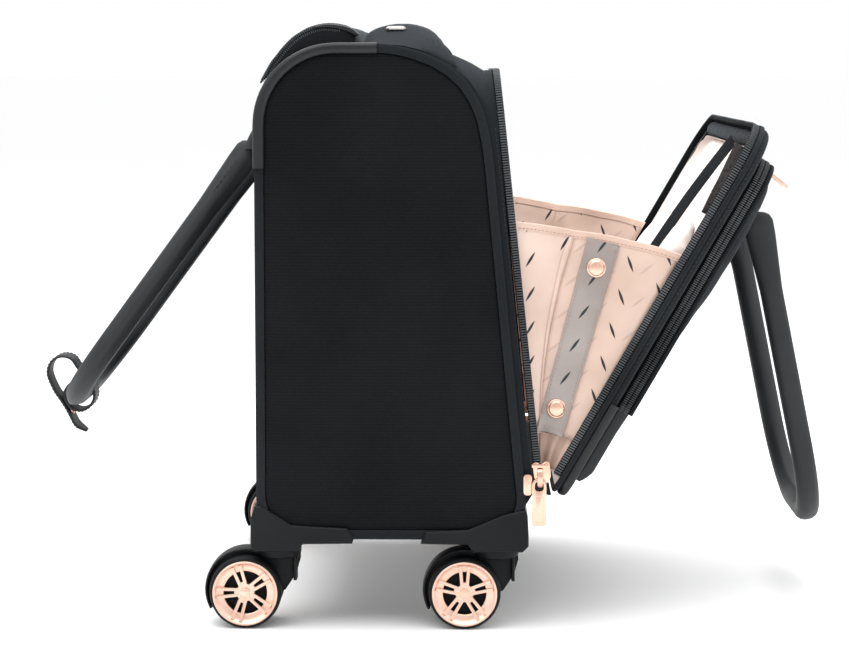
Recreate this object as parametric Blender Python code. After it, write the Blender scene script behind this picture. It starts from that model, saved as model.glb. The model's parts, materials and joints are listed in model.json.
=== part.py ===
"""Soft-sided rolling vanity case: shell, clamshell lid, twin-wheel casters, trolley, tote handles.

Frame: +X towards the lid (front), +Y across the width, +Z up, floor at z = 0. Units: metres.
Lengths below are millimetres and are scaled by MM when a mesh is written.
"""
import math

import bmesh
import bpy
from mathutils import Vector

MM = 0.001
SHIFT_X = -4.039

# shell
HALF_W = 168.0
SHELL_T = 4.0
BACK_X = -121.0
TOP_Z = 434.5
BASE_Z = 71.0
PIPE_BACK = -123.0
PIPE_TOP = 436.0
PIPE_BASE = 69.0
PIPE_Y0 = 168.3
PIPE_Y1 = 172.0
PIPE_W = 7.0
GAP = 0.35

# mouth and lid
HINGE_X = 90.5
HINGE_Z = 107.5
MOUTH_LEAN = -6.07
OPEN_ANGLE = 36.0
LID_LEAN = MOUTH_LEAN + OPEN_ANGLE
MOUTH_TOP = 311.0
MOUTH_R = 37.0
TAPE_T = 6.0
LID_DEPTH = 16.0

# casters
WHEEL_R = 27.0
TRAIL = 24.0
REAR_SWIVEL_X = -108.0
FRONT_SWIVEL_X = 56.0
SWIVEL_Y = 146.0
HOUSING_Z = 60.5

# trolley
TUBE_X = -100.0
TUBE_Y = 54.0

# handles
HANDLE_Y = 85.0
HANDLE_R = 9.0
BACK_HANDLE_L = 252.0
BACK_PIVOT = (-133.5, 356.0)
BACK_SWING = 36.2
LID_HANDLE_L = 243.0
LID_HANDLE_S = 252.0
LID_HANDLE_T = 47.0
LID_SWING = 11.5

COLOURS = {
    "fabric": ((0.020, 0.023, 0.026), 0.90, 0.0),
    "vinyl": ((0.035, 0.038, 0.042), 0.55, 0.0),
    "leather": ((0.045, 0.048, 0.052), 0.50, 0.0),
    "plastic": ((0.018, 0.019, 0.021), 0.60, 0.0),
    "rose": ((0.80, 0.52, 0.38), 0.25, 1.0),
    "metal": ((0.70, 0.70, 0.70), 0.35, 1.0),
    "lining": ((0.84, 0.68, 0.60), 0.85, 0.0),
    "strap": ((0.43, 0.39, 0.37), 0.60, 0.0),
    "mesh": ((0.015, 0.015, 0.017), 0.90, 0.0),
}


# ---------------------------------------------------------------- helpers
def clear_scene():
    for obj in list(bpy.data.objects):
        bpy.data.objects.remove(obj, do_unlink=True)


def add_material(obj, look):
    colour, rough, metal = COLOURS[look]
    mat = bpy.data.materials.new(obj.name)
    mat.use_nodes = True
    shader = mat.node_tree.nodes["Principled BSDF"]
    shader.inputs["Base Color"].default_value = (*colour, 1.0)
    shader.inputs["Roughness"].default_value = rough
    shader.inputs["Metallic"].default_value = metal
    mat.diffuse_color = (*colour, 1.0)
    obj.data.materials.append(mat)


def make(name, verts, faces, look, origin=(0.0, 0.0, 0.0)):
    """One closed solid from millimetre vertices; origin (mm) becomes the object's origin."""
    base = Vector(origin)
    bm = bmesh.new()
    made = [bm.verts.new((Vector(v) - base) * MM) for v in verts]
    for face in faces:
        bm.faces.new([made[i] for i in face])
    bmesh.ops.remove_doubles(bm, verts=bm.verts[:], dist=1e-7)
    bmesh.ops.recalc_face_normals(bm, faces=bm.faces[:])
    bmesh.ops.triangulate(bm, faces=[f for f in bm.faces if len(f.verts) > 4])
    if bm.calc_volume(signed=True) < 0:
        bmesh.ops.reverse_faces(bm, faces=bm.faces[:])
    mesh = bpy.data.meshes.new(name)
    bm.to_mesh(mesh)
    bm.free()
    obj = bpy.data.objects.new(name, mesh)
    obj.location = (base + Vector((SHIFT_X, 0.0, 0.0))) * MM
    bpy.context.scene.collection.objects.link(obj)
    if look:
        add_material(obj, look)
    return obj


def boolean(obj, cutter, operation="DIFFERENCE"):
    """Apply an exact boolean and drop the cutter."""
    mod = obj.modifiers.new("cut", "BOOLEAN")
    mod.operation = operation
    mod.solver = "EXACT"
    mod.object = cutter
    bpy.context.view_layer.update()
    graph = bpy.context.evaluated_depsgraph_get()
    mesh = bpy.data.meshes.new_from_object(obj.evaluated_get(graph))
    obj.modifiers.remove(mod)
    old = obj.data
    obj.data = mesh
    bpy.data.meshes.remove(old)
    mesh.name = obj.name
    bpy.data.objects.remove(cutter, do_unlink=True)
    return obj


def loft(rings, cap=True):
    """Closed surface through rings of equal length; the end rings are capped."""
    verts = [v for ring in rings for v in ring]
    n = len(rings[0])
    faces = []
    for k in range(len(rings) - 1):
        for j in range(n):
            a = k * n + j
            b = k * n + (j + 1) % n
            faces.append((a, b, b + n, a + n))
    if cap:
        faces.append(tuple(range(n)))
        faces.append(tuple(range((len(rings) - 1) * n, len(rings) * n)))
    return verts, faces


def arc(cx, cz, r, a0, a1, n):
    """n + 1 points on an arc, angles in degrees."""
    out = []
    for i in range(n + 1):
        a = math.radians(a0 + (a1 - a0) * i / n)
        out.append((cx + r * math.cos(a), cz + r * math.sin(a)))
    return out


def prism_y(outline, y0, y1):
    """Loft of an XZ outline from y0 to y1."""
    return loft([[(x, y, z) for x, z in outline] for y in (y0, y1)])


def box(x0, x1, y0, y1, z0, z1):
    return prism_y([(x0, z0), (x1, z0), (x1, z1), (x0, z1)], y0, y1)


def offset(points, d):
    """Inward offset of a closed anticlockwise XZ outline."""
    out = []
    n = len(points)
    for i in range(n):
        p0 = Vector(points[i - 1])
        p1 = Vector(points[i])
        p2 = Vector(points[(i + 1) % n])
        e0 = (p1 - p0).normalized()
        e1 = (p2 - p1).normalized()
        n0 = Vector((-e0.y, e0.x))
        n1 = Vector((-e1.y, e1.x))
        m = (n0 + n1).normalized()
        out.append(tuple(p1 + m * d / max(0.5, m.dot(n0))))
    return out


def sides():
    return (("left", 1.0), ("right", -1.0))


def mouth_point(s, t=0.0):
    """Point of the closed mouth plane: s up the plane, t outwards."""
    a = math.radians(MOUTH_LEAN)
    return (
        HINGE_X + s * math.sin(a) + t * math.cos(a),
        HINGE_Z + s * math.cos(a) - t * math.sin(a),
    )


def lid_point(s, t, y=0.0):
    """Point of the opened lid: s up the lid, t outwards."""
    a = math.radians(LID_LEAN)
    return (
        HINGE_X + s * math.sin(a) + t * math.cos(a),
        y,
        HINGE_Z + s * math.cos(a) - t * math.sin(a),
    )


def mouth_at(s, t, y=0.0):
    x, z = mouth_point(s, t)
    return (x, y, z)


def plate_outline(half_w, s0, s1, r_top, r_low, n=6):
    """Rounded rectangle in (y, s), anticlockwise seen from +X."""
    pts = []
    pts += arc(half_w - r_low, s0 + r_low, r_low, -90, 0, max(2, n // 2))
    pts += arc(half_w - r_top, s1 - r_top, r_top, 0, 90, n)
    pts += arc(-half_w + r_top, s1 - r_top, r_top, 90, 180, n)
    pts += arc(-half_w + r_low, s0 + r_low, r_low, 180, 270, max(2, n // 2))
    return pts


def u_band(half_w, s0, s1, r_top, width, n=7):
    """U-shaped band round the sides and top of the mouth, in (y, s)."""
    outer = [(half_w, s0)]
    outer += arc(half_w - r_top, s1 - r_top, r_top, 0, 90, n)
    outer += arc(-half_w + r_top, s1 - r_top, r_top, 90, 180, n)
    outer += [(-half_w, s0)]
    r = r_top - width
    inner = [(-half_w + width, s0)]
    inner += arc(-half_w + r_top, s1 - r_top, r, 180, 90, n)
    inner += arc(half_w - r_top, s1 - r_top, r, 90, 0, n)
    inner += [(half_w - width, s0)]
    return outer, inner


def band_solid(outer, inner, place, t0, t1):
    """Closed solid from matching outer and reversed inner polylines of an open band."""
    n = len(outer)
    back = list(reversed(inner))
    rings = []
    for (yo, so), (yi, si) in zip(outer, back):
        rings.append([place(so, t0, yo), place(so, t1, yo), place(si, t1, yi), place(si, t0, yi)])
    return loft(rings)


def sweep(path, radius, segs=8, flat=1.0, up=(0.0, 1.0, 0.0)):
    """Round or flattened tube along a path, capped at both ends."""
    pts = [Vector(p) for p in path]
    rings = []
    for i, p in enumerate(pts):
        a = pts[max(0, i - 1)]
        b = pts[min(len(pts) - 1, i + 1)]
        tangent = (b - a).normalized()
        side = Vector(up) - tangent * Vector(up).dot(tangent)
        if side.length < 1e-6:
            side = Vector((0.0, 0.0, 1.0)) - tangent * tangent.z
        side.normalize()
        other = tangent.cross(side)
        ring = []
        for k in range(segs):
            w = 2 * math.pi * (k + 0.5) / segs
            ring.append(tuple(p + side * (radius * math.cos(w)) + other * (radius * flat * math.sin(w))))
        rings.append(ring)
    return loft(rings)


def lathe_y(profile, cx, cz, segs):
    """Ring-shaped solid about a Y axis from a closed (radius, y) profile."""
    n = len(profile)
    verts = []
    for k in range(segs):
        w = 2 * math.pi * k / segs
        for r, y in profile:
            verts.append((cx + r * math.cos(w), y, cz + r * math.sin(w)))
    faces = []
    for k in range(segs):
        for j in range(n):
            a = k * n + j
            b = k * n + (j + 1) % n
            c = ((k + 1) % segs) * n
            faces.append((a, b, c + (j + 1) % n, c + j))
    return verts, faces


def cylinder_y(cx, cz, r, y0, y1, segs=16):
    ring = [
        (cx + r * math.cos(2 * math.pi * k / segs), cz + r * math.sin(2 * math.pi * k / segs))
        for k in range(segs)
    ]
    return prism_y(ring, y0, y1)


def disc_z(cx, cy, levels, segs=16):
    """Turned solid about a Z axis from (radius, z) levels."""
    rings = []
    for r, z in levels:
        rings.append(
            [
                (cx + r * math.cos(2 * math.pi * k / segs), cy + r * math.sin(2 * math.pi * k / segs), z)
                for k in range(segs)
            ]
        )
    return loft(rings)


# ---------------------------------------------------------------- profiles
def side_outline():
    """Outer edge of the side piping in XZ, anticlockwise seen from -Y."""
    pts = []
    pts += arc(-91.0, 101.0, 32.0, 180, 270, 6)
    pts += arc(47.0, 99.5, 30.5, 270, 365, 6)
    pts += [(68.7, 190.0), (60.5, 273.0), (53.4, 346.0)]
    pts += [(51.6, 360.0), (49.3, 372.4), (46.2, 384.5), (41.2, 396.0), (33.0, 408.5)]
    pts += [(22.1, 418.5), (9.5, 426.0), (-5.2, 431.5), (-17.0, 434.4), (-30.0, PIPE_TOP)]
    pts += arc(-63.0, 376.0, 60.0, 90, 180, 8)
    return pts


def shell_rows():
    """Shell profile from the mouth's top edge round the back to the hinge sill.

    Each row is (x, z, cap x, cap z, width of the edge rounding).
    """
    top = mouth_point(MOUTH_TOP, -TAPE_T - 0.3)
    top_cap = mouth_point(MOUTH_TOP - MOUTH_R, -TAPE_T - 0.3)
    rows = [
        (top[0], top[1], top_cap[0], top_cap[1], 37.0),
        (46.5, 415.2, 52.6, 380.0, 36.0),
        (35.0, 422.0, 47.5, 389.0, 32.0),
        (22.0, 428.2, 39.0, 403.0, 26.0),
        (10.0, 432.0, 24.0, 415.5, 20.0),
        (-4.0, 434.0, 4.0, 426.5, 13.0),
        (-18.0, TOP_Z, -14.0, 430.5, 7.0),
        (-32.0, TOP_Z, -32.0, 431.0, 4.0),
    ]
    plain = arc(-63.0, 376.5, 58.0, 90, 180, 8)
    plain += [(BACK_X, 240.0)]
    plain += arc(-89.0, 103.0, 32.0, 180, 270, 6)
    plain += [(-20.0, BASE_Z)]
    plain += arc(47.0, 100.5, 29.5, 270, 340, 5)
    for i, (x, z) in enumerate(plain):
        before = plain[max(0, i - 1)]
        after = plain[min(len(plain) - 1, i + 1)]
        tangent = Vector((after[0] - before[0], after[1] - before[1])).normalized()
        inward = Vector((-tangent.y, tangent.x))
        rows.append((x, z, x + inward.x * 3.5, z + inward.y * 3.5, 4.0))
    low = mouth_point(-1.0, -TAPE_T - 0.3)
    rows.append((80.5, 98.5, 77.5, 98.5, 4.0))
    rows.append((low[0], low[1], low[0] - 2.0, low[1] - 0.2, 4.0))
    return rows


def stations(half_w):
    """Y stations that step finely through the edge rounding."""
    inset = [0.0, 1.2, 3.5, 7.0, 12.0, 19.0, 27.0, 37.0]
    right = [-(half_w - d) for d in inset]
    return right + [-y for y in reversed(right)]


def shell_grid(thick):
    """Rows of points by Y station; thick pushes the surface inwards."""
    half_w = HALF_W - thick
    rows = shell_rows()
    ends = len(rows) - 1
    grid = []
    for y in stations(half_w):
        line = []
        for i, (x, z, cx, cz, width) in enumerate(rows):
            a = rows[max(0, i - 1)]
            b = rows[min(ends, i + 1)]
            tangent = Vector((b[0] - a[0], b[1] - a[1])).normalized()
            inward = Vector((-tangent.y, tangent.x)) * thick
            if thick and i in (0, ends):
                lean = math.radians(MOUTH_LEAN)
                along = Vector((math.sin(lean), math.cos(lean)))
                inward = along * (-thick if i == 0 else thick)
            q = max(0.0, min(1.0, (abs(y) - (half_w - width)) / width))
            f = 1.0 - math.sqrt(max(0.0, 1.0 - q * q))
            line.append((x + (cx - x) * f + inward.x, y, z + (cz - z) * f + inward.y))
        grid.append(line)
    return grid


# ---------------------------------------------------------------- case
def build_case_shell():
    outer = shell_grid(0.0)
    inner = shell_grid(SHELL_T)
    nk = len(outer)
    nj = len(outer[0])
    verts = [v for line in outer for v in line] + [v for line in inner for v in line]
    base = nk * nj
    faces = []
    for k in range(nk - 1):
        for j in range(nj - 1):
            a = k * nj + j
            faces.append((a, a + 1, a + nj + 1, a + nj))
            faces.append((base + a, base + a + nj, base + a + nj + 1, base + a + 1))
        for j in (0, nj - 1):
            a = k * nj + j
            faces.append((a, a + nj, base + a + nj, base + a))
    for k in (0, nk - 1):
        faces.append(tuple(k * nj + j for j in range(nj)))
        faces.append(tuple(base + k * nj + j for j in range(nj)))
        a = k * nj
        faces.append((a, a + nj - 1, base + a + nj - 1, base + a))
    shell = make("case_shell", verts, faces, "fabric")
    hole = make("hole", *box(-114.9, -85.1, -75.9, 75.9, 385.0, 460.0), None)
    return boolean(shell, hole)


def build_side_panels():
    outline = offset(side_outline(), PIPE_W + GAP)
    inner = offset(outline, 3.0)
    for name, sign in sides():
        y0 = PIPE_Y0
        rings = [(outline, y0), (outline, y0 + 1.2), (inner, y0 + 2.6)]
        shape = [[(x, sign * y, z) for x, z in ring] for ring, y in rings]
        verts, faces = loft(shape)
        make(name + "_side_panel", verts, faces, "fabric")


def build_piping():
    outline = side_outline()
    mid_out = offset(outline, 1.2)
    mid_in = offset(outline, PIPE_W - 1.2)
    inside = offset(outline, PIPE_W)
    for name, sign in sides():
        rows = [
            (outline, PIPE_Y0),
            (outline, PIPE_Y0 + 1.8),
            (mid_out, PIPE_Y1),
            (mid_in, PIPE_Y1),
            (inside, PIPE_Y0 + 1.8),
            (inside, PIPE_Y0),
        ]
        rings = []
        for j in range(len(outline)):
            rings.append([(ring[j][0], sign * y, ring[j][1]) for ring, y in rows])
        rings.append(rings[0])
        verts, faces = loft(rings, cap=False)
        make(name + "_side_piping", verts, faces, "vinyl")


def build_case_tape():
    outer, inner = u_band(HALF_W, 14.0, MOUTH_TOP, MOUTH_R, 3.2)
    verts, faces = band_solid(outer, inner, mouth_at, -TAPE_T, -0.3)
    make("case_zip_tape", verts, faces, "fabric")


def build_hinge_strip():
    pts = [mouth_point(-1.6, -5.9), mouth_point(0.2, -3.0), mouth_point(0.2, -1.2)]
    pts += [mouth_point(-9.0, -3.4), mouth_point(-15.0, -4.6), mouth_point(-15.0, -6.2)]
    pts += [mouth_point(-9.0, -5.9)]
    verts, faces = prism_y(pts, -160.0, 160.0)
    make("hinge_strip", verts, faces, "vinyl")


def build_guards():
    rear = [(-127.0, 63.0), (-123.5, 60.5), (-92.5, 60.5), (-88.0, 66.0), (-51.5, 66.5)]
    rear += [(-50.0, 71.4), (-55.0, 78.0), (-96.4, 80.2), (-119.5, 95.0), (-124.0, 94.5), (-127.0, 84.0)]
    front = [(-0.7, 66.5), (34.0, 66.0), (38.5, 60.5), (75.0, 60.5), (79.4, 65.0), (79.4, 72.0)]
    front += [(78.6, 88.0), (77.0, 92.0), (72.9, 91.6), (60.4, 88.3), (34.6, 77.3), (2.9, 75.8)]
    body = offset(side_outline(), -GAP)
    for where, shape, swivel in (("rear", rear, REAR_SWIVEL_X), ("front", front, FRONT_SWIVEL_X)):
        for name, sign in sides():
            y0 = 119.0
            edge = offset(shape, 1.2)
            rings = [(shape, y0), (shape, 173.3), (edge, 174.6)]
            verts, faces = loft([[(x, sign * y, z) for x, z in ring] for ring, y in rings])
            guard = make(where + "_" + name + "_guard", verts, faces, "plastic")
            verts, faces = prism_y(body, -(PIPE_Y1 + GAP), PIPE_Y1 + GAP)
            boolean(guard, make("cut", verts, faces, None))
            pin = disc_z(swivel, sign * SWIVEL_Y, [(4.1, 55.0), (4.1, 66.3)])
            boolean(guard, make("cut", *pin, None))


def build_back_pocket():
    """Zipped pocket over the rear top edge, with a central notch for the trolley grip."""
    crown = [(-118.8, 409.5), (-112.0, 421.5), (-103.0, 433.0), (-95.5, 440.5), (-86.8, 446.0)]
    crown += [(-78.0, 449.3), (-70.0, 450.2), (-60.0, 449.4), (-53.0, 447.5), (-48.6, 443.8)]
    seat = arc(-63.0, 376.5, 58.4, 90, 146, 5)
    outline = list(reversed(crown)) + [(-120.2, 407.0)] + list(reversed(seat)) + [(-48.6, 434.9)]
    fades = [(-152.0, 0.25), (-148.0, 0.62), (-140.0, 0.85), (-124.0, 1.0)]
    fades += [(-y, f) for y, f in reversed(fades)]
    rings = [pocket_ring(outline, y, f) for y, f in fades]
    verts, faces = loft(rings)
    pocket = make("back_pocket", verts, faces, "fabric")
    notch = make("notch", *box(-130.0, -84.9, -76.1, 76.1, 380.0, 470.0), None)
    boolean(pocket, notch)


def pocket_ring(outline, y, f):
    """Pocket section scaled towards the shell corner it sits on."""
    ring = []
    for x, z in outline:
        d = Vector((min(x + 63.0, 0.0), z - 376.5))
        r = d.length
        if r > 59.0:
            d = d * ((58.5 + (r - 58.5) * f) / r)
        ring.append((-63.0 + d.x if x <= -63.0 else x, y, 376.5 + d.y))
    return ring


def build_trolley():
    tray = make("trolley_housing", *box(-114.5, -85.5, -75.5, 75.5, 400.0, 437.0), "plastic")
    boolean(tray, make("cut", *box(-111.5, -88.5, -72.5, 72.5, 407.0, 460.0), None))
    for sign in (1.0, -1.0):
        y = sign * TUBE_Y
        tube = make("tube", *box(TUBE_X - 7.0, TUBE_X + 7.0, y - 9.0, y + 9.0, 84.0, 402.0), None)
        boolean(tray, tube, "UNION")
    for sign in (1.0, -1.0):
        y = sign * TUBE_Y
        bore = make("cut", *box(TUBE_X - 5.8, TUBE_X + 5.8, y - 7.8, y + 7.8, 60.0, 440.0), None)
        boolean(tray, bore)
    slope = [(-130.0, 424.0), (-114.8, 424.0), (-104.0, 437.5), (-104.0, 460.0), (-130.0, 460.0)]
    boolean(tray, make("cut", *prism_y(slope, -90.0, 90.0), None))
    for name, sign in sides():
        y = sign * TUBE_Y
        mid = make(
            "trolley_mid_tube_" + name,
            *box(TUBE_X - 5.6, TUBE_X + 5.6, y - 7.6, y + 7.6, 90.0, 409.0),
            "metal",
        )
        bore = make("cut", *box(TUBE_X - 4.6, TUBE_X + 4.6, y - 6.6, y + 6.6, 60.0, 430.0), None)
        boolean(mid, bore)
        make(
            "trolley_inner_tube_" + name,
            *box(TUBE_X - 4.4, TUBE_X + 4.4, y - 6.4, y + 6.4, 96.0, 415.6),
            "metal",
        )
    shape = [(-110.0, 416.0), (-90.5, 416.0), (-90.5, 427.0), (-93.5, 431.0), (-101.0, 431.0), (-110.0, 422.5)]
    inset = offset(shape, 2.0)
    rings = [(inset, -70.5), (shape, -68.0), (shape, 68.0), (inset, 70.5)]
    grip = make("trolley_grip", *loft([[(x, y, z) for x, z in s] for s, y in rings]), "plastic")
    boolean(grip, make("cut", *box(-100.5, -94.0, -14.3, 14.3, 424.7, 440.0), None))
    make("trolley_button", *box(-100.2, -94.3, -14.0, 14.0, 428.0, 433.0), "plastic")


def build_grab_handle():
    """Padded strap across the top, arched clear of the shell between its sewn ends."""
    spine = [(-152.0, 436.7, 1.6, 16.0), (-146.0, 437.3, 2.2, 21.0), (-132.0, 439.6, 3.0, 24.0)]
    spine += [(-114.0, 443.4, 3.8, 25.5), (-96.0, 446.0, 4.4, 26.5), (-60.0, 447.2, 4.7, 27.0)]
    spine += [(0.0, 447.4, 4.8, 27.0)]
    spine += [(-y, z, h, w) for y, z, h, w in reversed(spine[:-1])]
    rings = []
    for y, z, h, w in spine:
        ring = []
        for k in range(10):
            a = 2 * math.pi * (k + 0.5) / 10
            c = math.copysign(abs(math.cos(a)) ** 0.6, math.cos(a))
            s = math.copysign(abs(math.sin(a)) ** 0.8, math.sin(a))
            ring.append((-16.5 + w * c, y, z + h * s))
        rings.append(ring)
    make("top_grab_handle", *loft(rings), "fabric")


# ---------------------------------------------------------------- lid
def lid_solid(rings_out, rings_in):
    """Tray solid from (outline, t) rings: outer from rim to front, inner from rim to floor."""
    out = [[lid_point(s, t, y) for y, s in ring] for ring, t in rings_out]
    inn = [[lid_point(s, t, y) for y, s in ring] for ring, t in rings_in]
    rings = list(reversed(inn)) + out
    return loft(rings)


def build_lid():
    def ring(d, t):
        return plate_outline(HALF_W - d, 2.0 + d, MOUTH_TOP - d, MOUTH_R - d, 12.0 - min(d, 9.0)), t

    outer = [ring(0.0, TAPE_T + 0.3), ring(0.0, 12.5), ring(1.2, 15.2), ring(3.6, LID_DEPTH)]
    inner = [ring(3.2, TAPE_T + 0.3), ring(3.2, 12.8)]
    verts, faces = lid_solid(outer, inner)
    make("lid_shell", verts, faces, "fabric")
    outline, inside = u_band(HALF_W, 14.0, MOUTH_TOP, MOUTH_R, 3.2)
    verts, faces = band_solid(outline, inside, lid_point, 0.3, TAPE_T)
    make("lid_zip_tape", verts, faces, "fabric")
    make("lid_inner_pocket", *lid_pad(150.0, 12.0, 178.0, 14.0, 7.4, 12.4), "mesh")


def lid_pad(half_w, s0, s1, r, t0, t1):
    flat = plate_outline(half_w, s0, s1, r, 8.0, 4)
    small = plate_outline(half_w - 2.0, s0 + 2.0, s1 - 2.0, r - 2.0, 6.0, 4)
    rings = [(flat, t1), (flat, t0 + 1.5), (small, t0)]
    return loft([[lid_point(s, t, y) for y, s in ring] for ring, t in rings])


def build_front_pocket():
    """Bulging zipped pocket on the lid front; its depth varies up the lid."""
    front = [(15.0, 17.2), (18.0, 20.5), (31.0, 24.0), (51.0, 25.0), (70.0, 26.5), (90.0, 27.0)]
    front += [(120.0, 29.0), (153.0, 32.0), (183.0, 34.6), (210.0, 36.0), (238.0, 35.2)]
    front += [(262.0, 33.6), (279.0, 31.6), (286.5, 27.0), (289.0, 20.0), (289.0, 17.2)]
    rings = []
    for y, f in ((-156.0, 0.10), (-154.0, 0.45), (-149.0, 0.70), (-138.0, 0.88), (-118.0, 1.0)):
        rings.append(bulge_ring(front, y, f))
    rings += [bulge_ring(front, -y, f) for y, f in ((-118.0, 1.0), (-138.0, 0.88), (-149.0, 0.70))]
    rings += [bulge_ring(front, -y, f) for y, f in ((-154.0, 0.45), (-156.0, 0.10))]
    make("front_pocket", *loft(rings), "fabric")


def bulge_ring(front, y, f):
    base = LID_DEPTH + GAP
    inset = (1.0 - f) * 9.0
    ring = []
    for s, t in front:
        s_in = min(max(s, 15.0 + inset), 289.0 - inset)
        ring.append(lid_point(s_in, base + max(0.4, (t - base) * f), y))
    ring.append(lid_point(289.0 - inset, base, y))
    ring.append(lid_point(15.0 + inset, base, y))
    return ring


def sector(r0, r1, a0, a1, n):
    """Fan outline about the hinge; angles in degrees forward of vertical."""
    pts = []
    for i in range(n + 1):
        a = math.radians(a0 + (a1 - a0) * i / n)
        pts.append((HINGE_X + r1 * math.sin(a), HINGE_Z + r1 * math.cos(a)))
    for i in range(n + 1):
        a = math.radians(a1 + (a0 - a1) * i / n)
        pts.append((HINGE_X + r0 * math.sin(a), HINGE_Z + r0 * math.cos(a)))
    return pts


def build_gussets():
    fold = 10.0
    rear = sector(42.0, 197.0, MOUTH_LEAN + 0.4, fold, 4)
    front = sector(42.0, 197.0, fold + 0.4, LID_LEAN - 0.4, 4)
    a0 = math.radians(6.0)
    strap = []
    for r, off in ((40.0, -10.0), (40.0, 10.0), (190.0, 12.0), (190.0, -12.0)):
        a = math.radians(5.4 if r < 100 else 12.0)
        strap.append((HINGE_X + r * math.sin(a) + off * math.cos(a0), HINGE_Z + r * math.cos(a) - off * 0.12))
    strap = list(reversed(strap))
    origin = (HINGE_X, 0.0, HINGE_Z)
    for name, sign in sides():
        verts, faces = prism_y(rear, sign * 157.0, sign * 155.6)
        make("gusset_rear_" + name, verts, faces, "lining", origin)
        verts, faces = prism_y(front, sign * 153.6, sign * 152.2)
        make("gusset_front_" + name, verts, faces, "lining")
        verts, faces = prism_y(strap, sign * 159.3, sign * 157.3)
        make("gusset_strap_" + name, verts, faces, "strap", origin)


# ---------------------------------------------------------------- casters
def build_caster(name, x, y):
    axle_x = x - TRAIL
    web = [(x + 12.5, 53.6), (x + 11.0, 47.0), (axle_x + 14.0, 30.0), (axle_x + 8.0, 18.5)]
    web += [(axle_x - 1.0, 16.5), (axle_x - 9.0, 19.5), (axle_x - 14.0, 30.0), (axle_x - 13.0, 42.0)]
    web += [(axle_x - 4.0, 50.5), (x - 12.5, 53.6)]
    web = list(reversed(web))
    fork = make(name + "_fork", *prism_y(web, y - 4.2, y + 4.2), "plastic", (x, y, HOUSING_Z))
    crown = disc_z(x, y, [(15.0, 53.0), (17.0, 55.5), (17.0, 60.1)], 20)
    boolean(fork, make("crown", *crown, None), "UNION")
    boolean(fork, make("pin", *disc_z(x, y, [(4.0, 58.0), (4.0, 65.8)]), None), "UNION")
    boolean(fork, make("cut", *cylinder_y(axle_x, WHEEL_R, 3.0, y - 9.0, y + 9.0), None))
    make(name + "_axle", *cylinder_y(axle_x, WHEEL_R, 2.9, y - 18.6, y + 18.6), "metal", (axle_x, y, WHEEL_R))
    profile = [(2.99, 5.0), (24.0, 5.0), (27.0, 7.0), (27.0, 18.3), (25.0, 20.4), (22.6, 20.4)]
    profile += [(21.6, 18.2), (6.0, 15.4), (5.2, 17.4), (2.99, 17.4)]
    for side, sign in (("outer", 1.0), ("inner", -1.0)):
        turn = sign * math.copysign(1.0, y)
        verts, faces = lathe_y([(r, y + turn * w) for r, w in profile], axle_x, WHEEL_R, 20)
        make(name + "_wheel_" + side, verts, faces, "rose", (axle_x, y, WHEEL_R))


def build_casters():
    for where, x in (("rear", REAR_SWIVEL_X), ("front", FRONT_SWIVEL_X)):
        for name, sign in sides():
            build_caster(where + "_" + name, x, sign * SWIVEL_Y)


# ---------------------------------------------------------------- handles
def handle_path(length, half, bottom_r, n=6):
    """U path in (distance from the pivot, y)."""
    pts = [(0.0, -half), (length * 0.25, -half), (length * 0.5, -half)]
    turn = length - bottom_r
    for i in range(n + 1):
        a = math.radians(180 - 90 * i / n)
        pts.append((turn + bottom_r * math.sin(a), -(half - bottom_r) + bottom_r * math.cos(a)))
    return pts + [(d, -y) for d, y in reversed(pts)]


def build_handles():
    path = handle_path(BACK_HANDLE_L, HANDLE_Y, 62.0)
    a = math.radians(BACK_SWING)
    px, pz = BACK_PIVOT
    down = (-math.sin(a), -math.cos(a))
    pts = [(px + d * down[0], y, pz + d * down[1]) for d, y in path]
    normal = (-math.cos(a), 0.0, math.sin(a))
    make("back_handle", *sweep(pts, HANDLE_R, 8, 0.95, normal), "leather", (px, 0.0, pz))
    build_snap_tab(px + BACK_HANDLE_L * down[0], pz + BACK_HANDLE_L * down[1])
    path = handle_path(LID_HANDLE_L, HANDLE_Y, 62.0)
    qx, _, qz = lid_point(LID_HANDLE_S, LID_HANDLE_T)
    b = math.radians(LID_SWING)
    pts = [(qx + d * math.sin(b), y, qz - d * math.cos(b)) for d, y in path]
    normal = (math.cos(b), 0.0, math.sin(b))
    make("lid_handle", *sweep(pts, HANDLE_R, 8, 0.95, normal), "leather", (qx, 0.0, qz))
    for name, sign in sides():
        y = sign * HANDLE_Y
        outline = plate_outline(9.5, LID_HANDLE_S - 3.0, LID_HANDLE_S + 28.0, 5.0, 3.0, 4)
        rings = []
        for lift in (2.2, 0.0):
            ring = [lid_point(s, 35.2 + lift - 0.095 * (s - 249.0), y + v) for v, s in outline]
            rings.append(ring)
        make("lid_handle_anchor_" + name, *loft(rings), "leather")


def disc_outline(cx, cz, r, n):
    return [(cx + r * math.cos(2 * math.pi * k / n), cz + r * math.sin(2 * math.pi * k / n)) for k in range(n)]


def build_snap_tab(gx, gz):
    """Leather tab wrapped round the grip, with an open loop above it and a tail below."""
    tab = make("snap_tab", *prism_y(disc_outline(gx, gz, 12.6, 12), -12.0, 12.0), "leather", (gx, 0.0, gz))
    lx, lz = gx - 10.6, gz + 17.6
    boolean(tab, make("loop", *prism_y(disc_outline(lx, lz, 13.2, 14), -10.0, 10.0), None), "UNION")
    tail = [(gx + 2.0, gz - 6.0), (gx + 5.2, gz - 28.0), (gx + 7.8, gz - 28.0), (gx + 8.0, gz - 6.0)]
    boolean(tab, make("tail", *prism_y(tail, -9.0, 9.0), None), "UNION")
    boolean(tab, make("cut", *prism_y(disc_outline(lx, lz, 10.8, 14), -20.0, 20.0), None))
    boolean(tab, make("cut", *prism_y(disc_outline(gx, gz, 10.4, 12), -20.0, 20.0), None))


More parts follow.
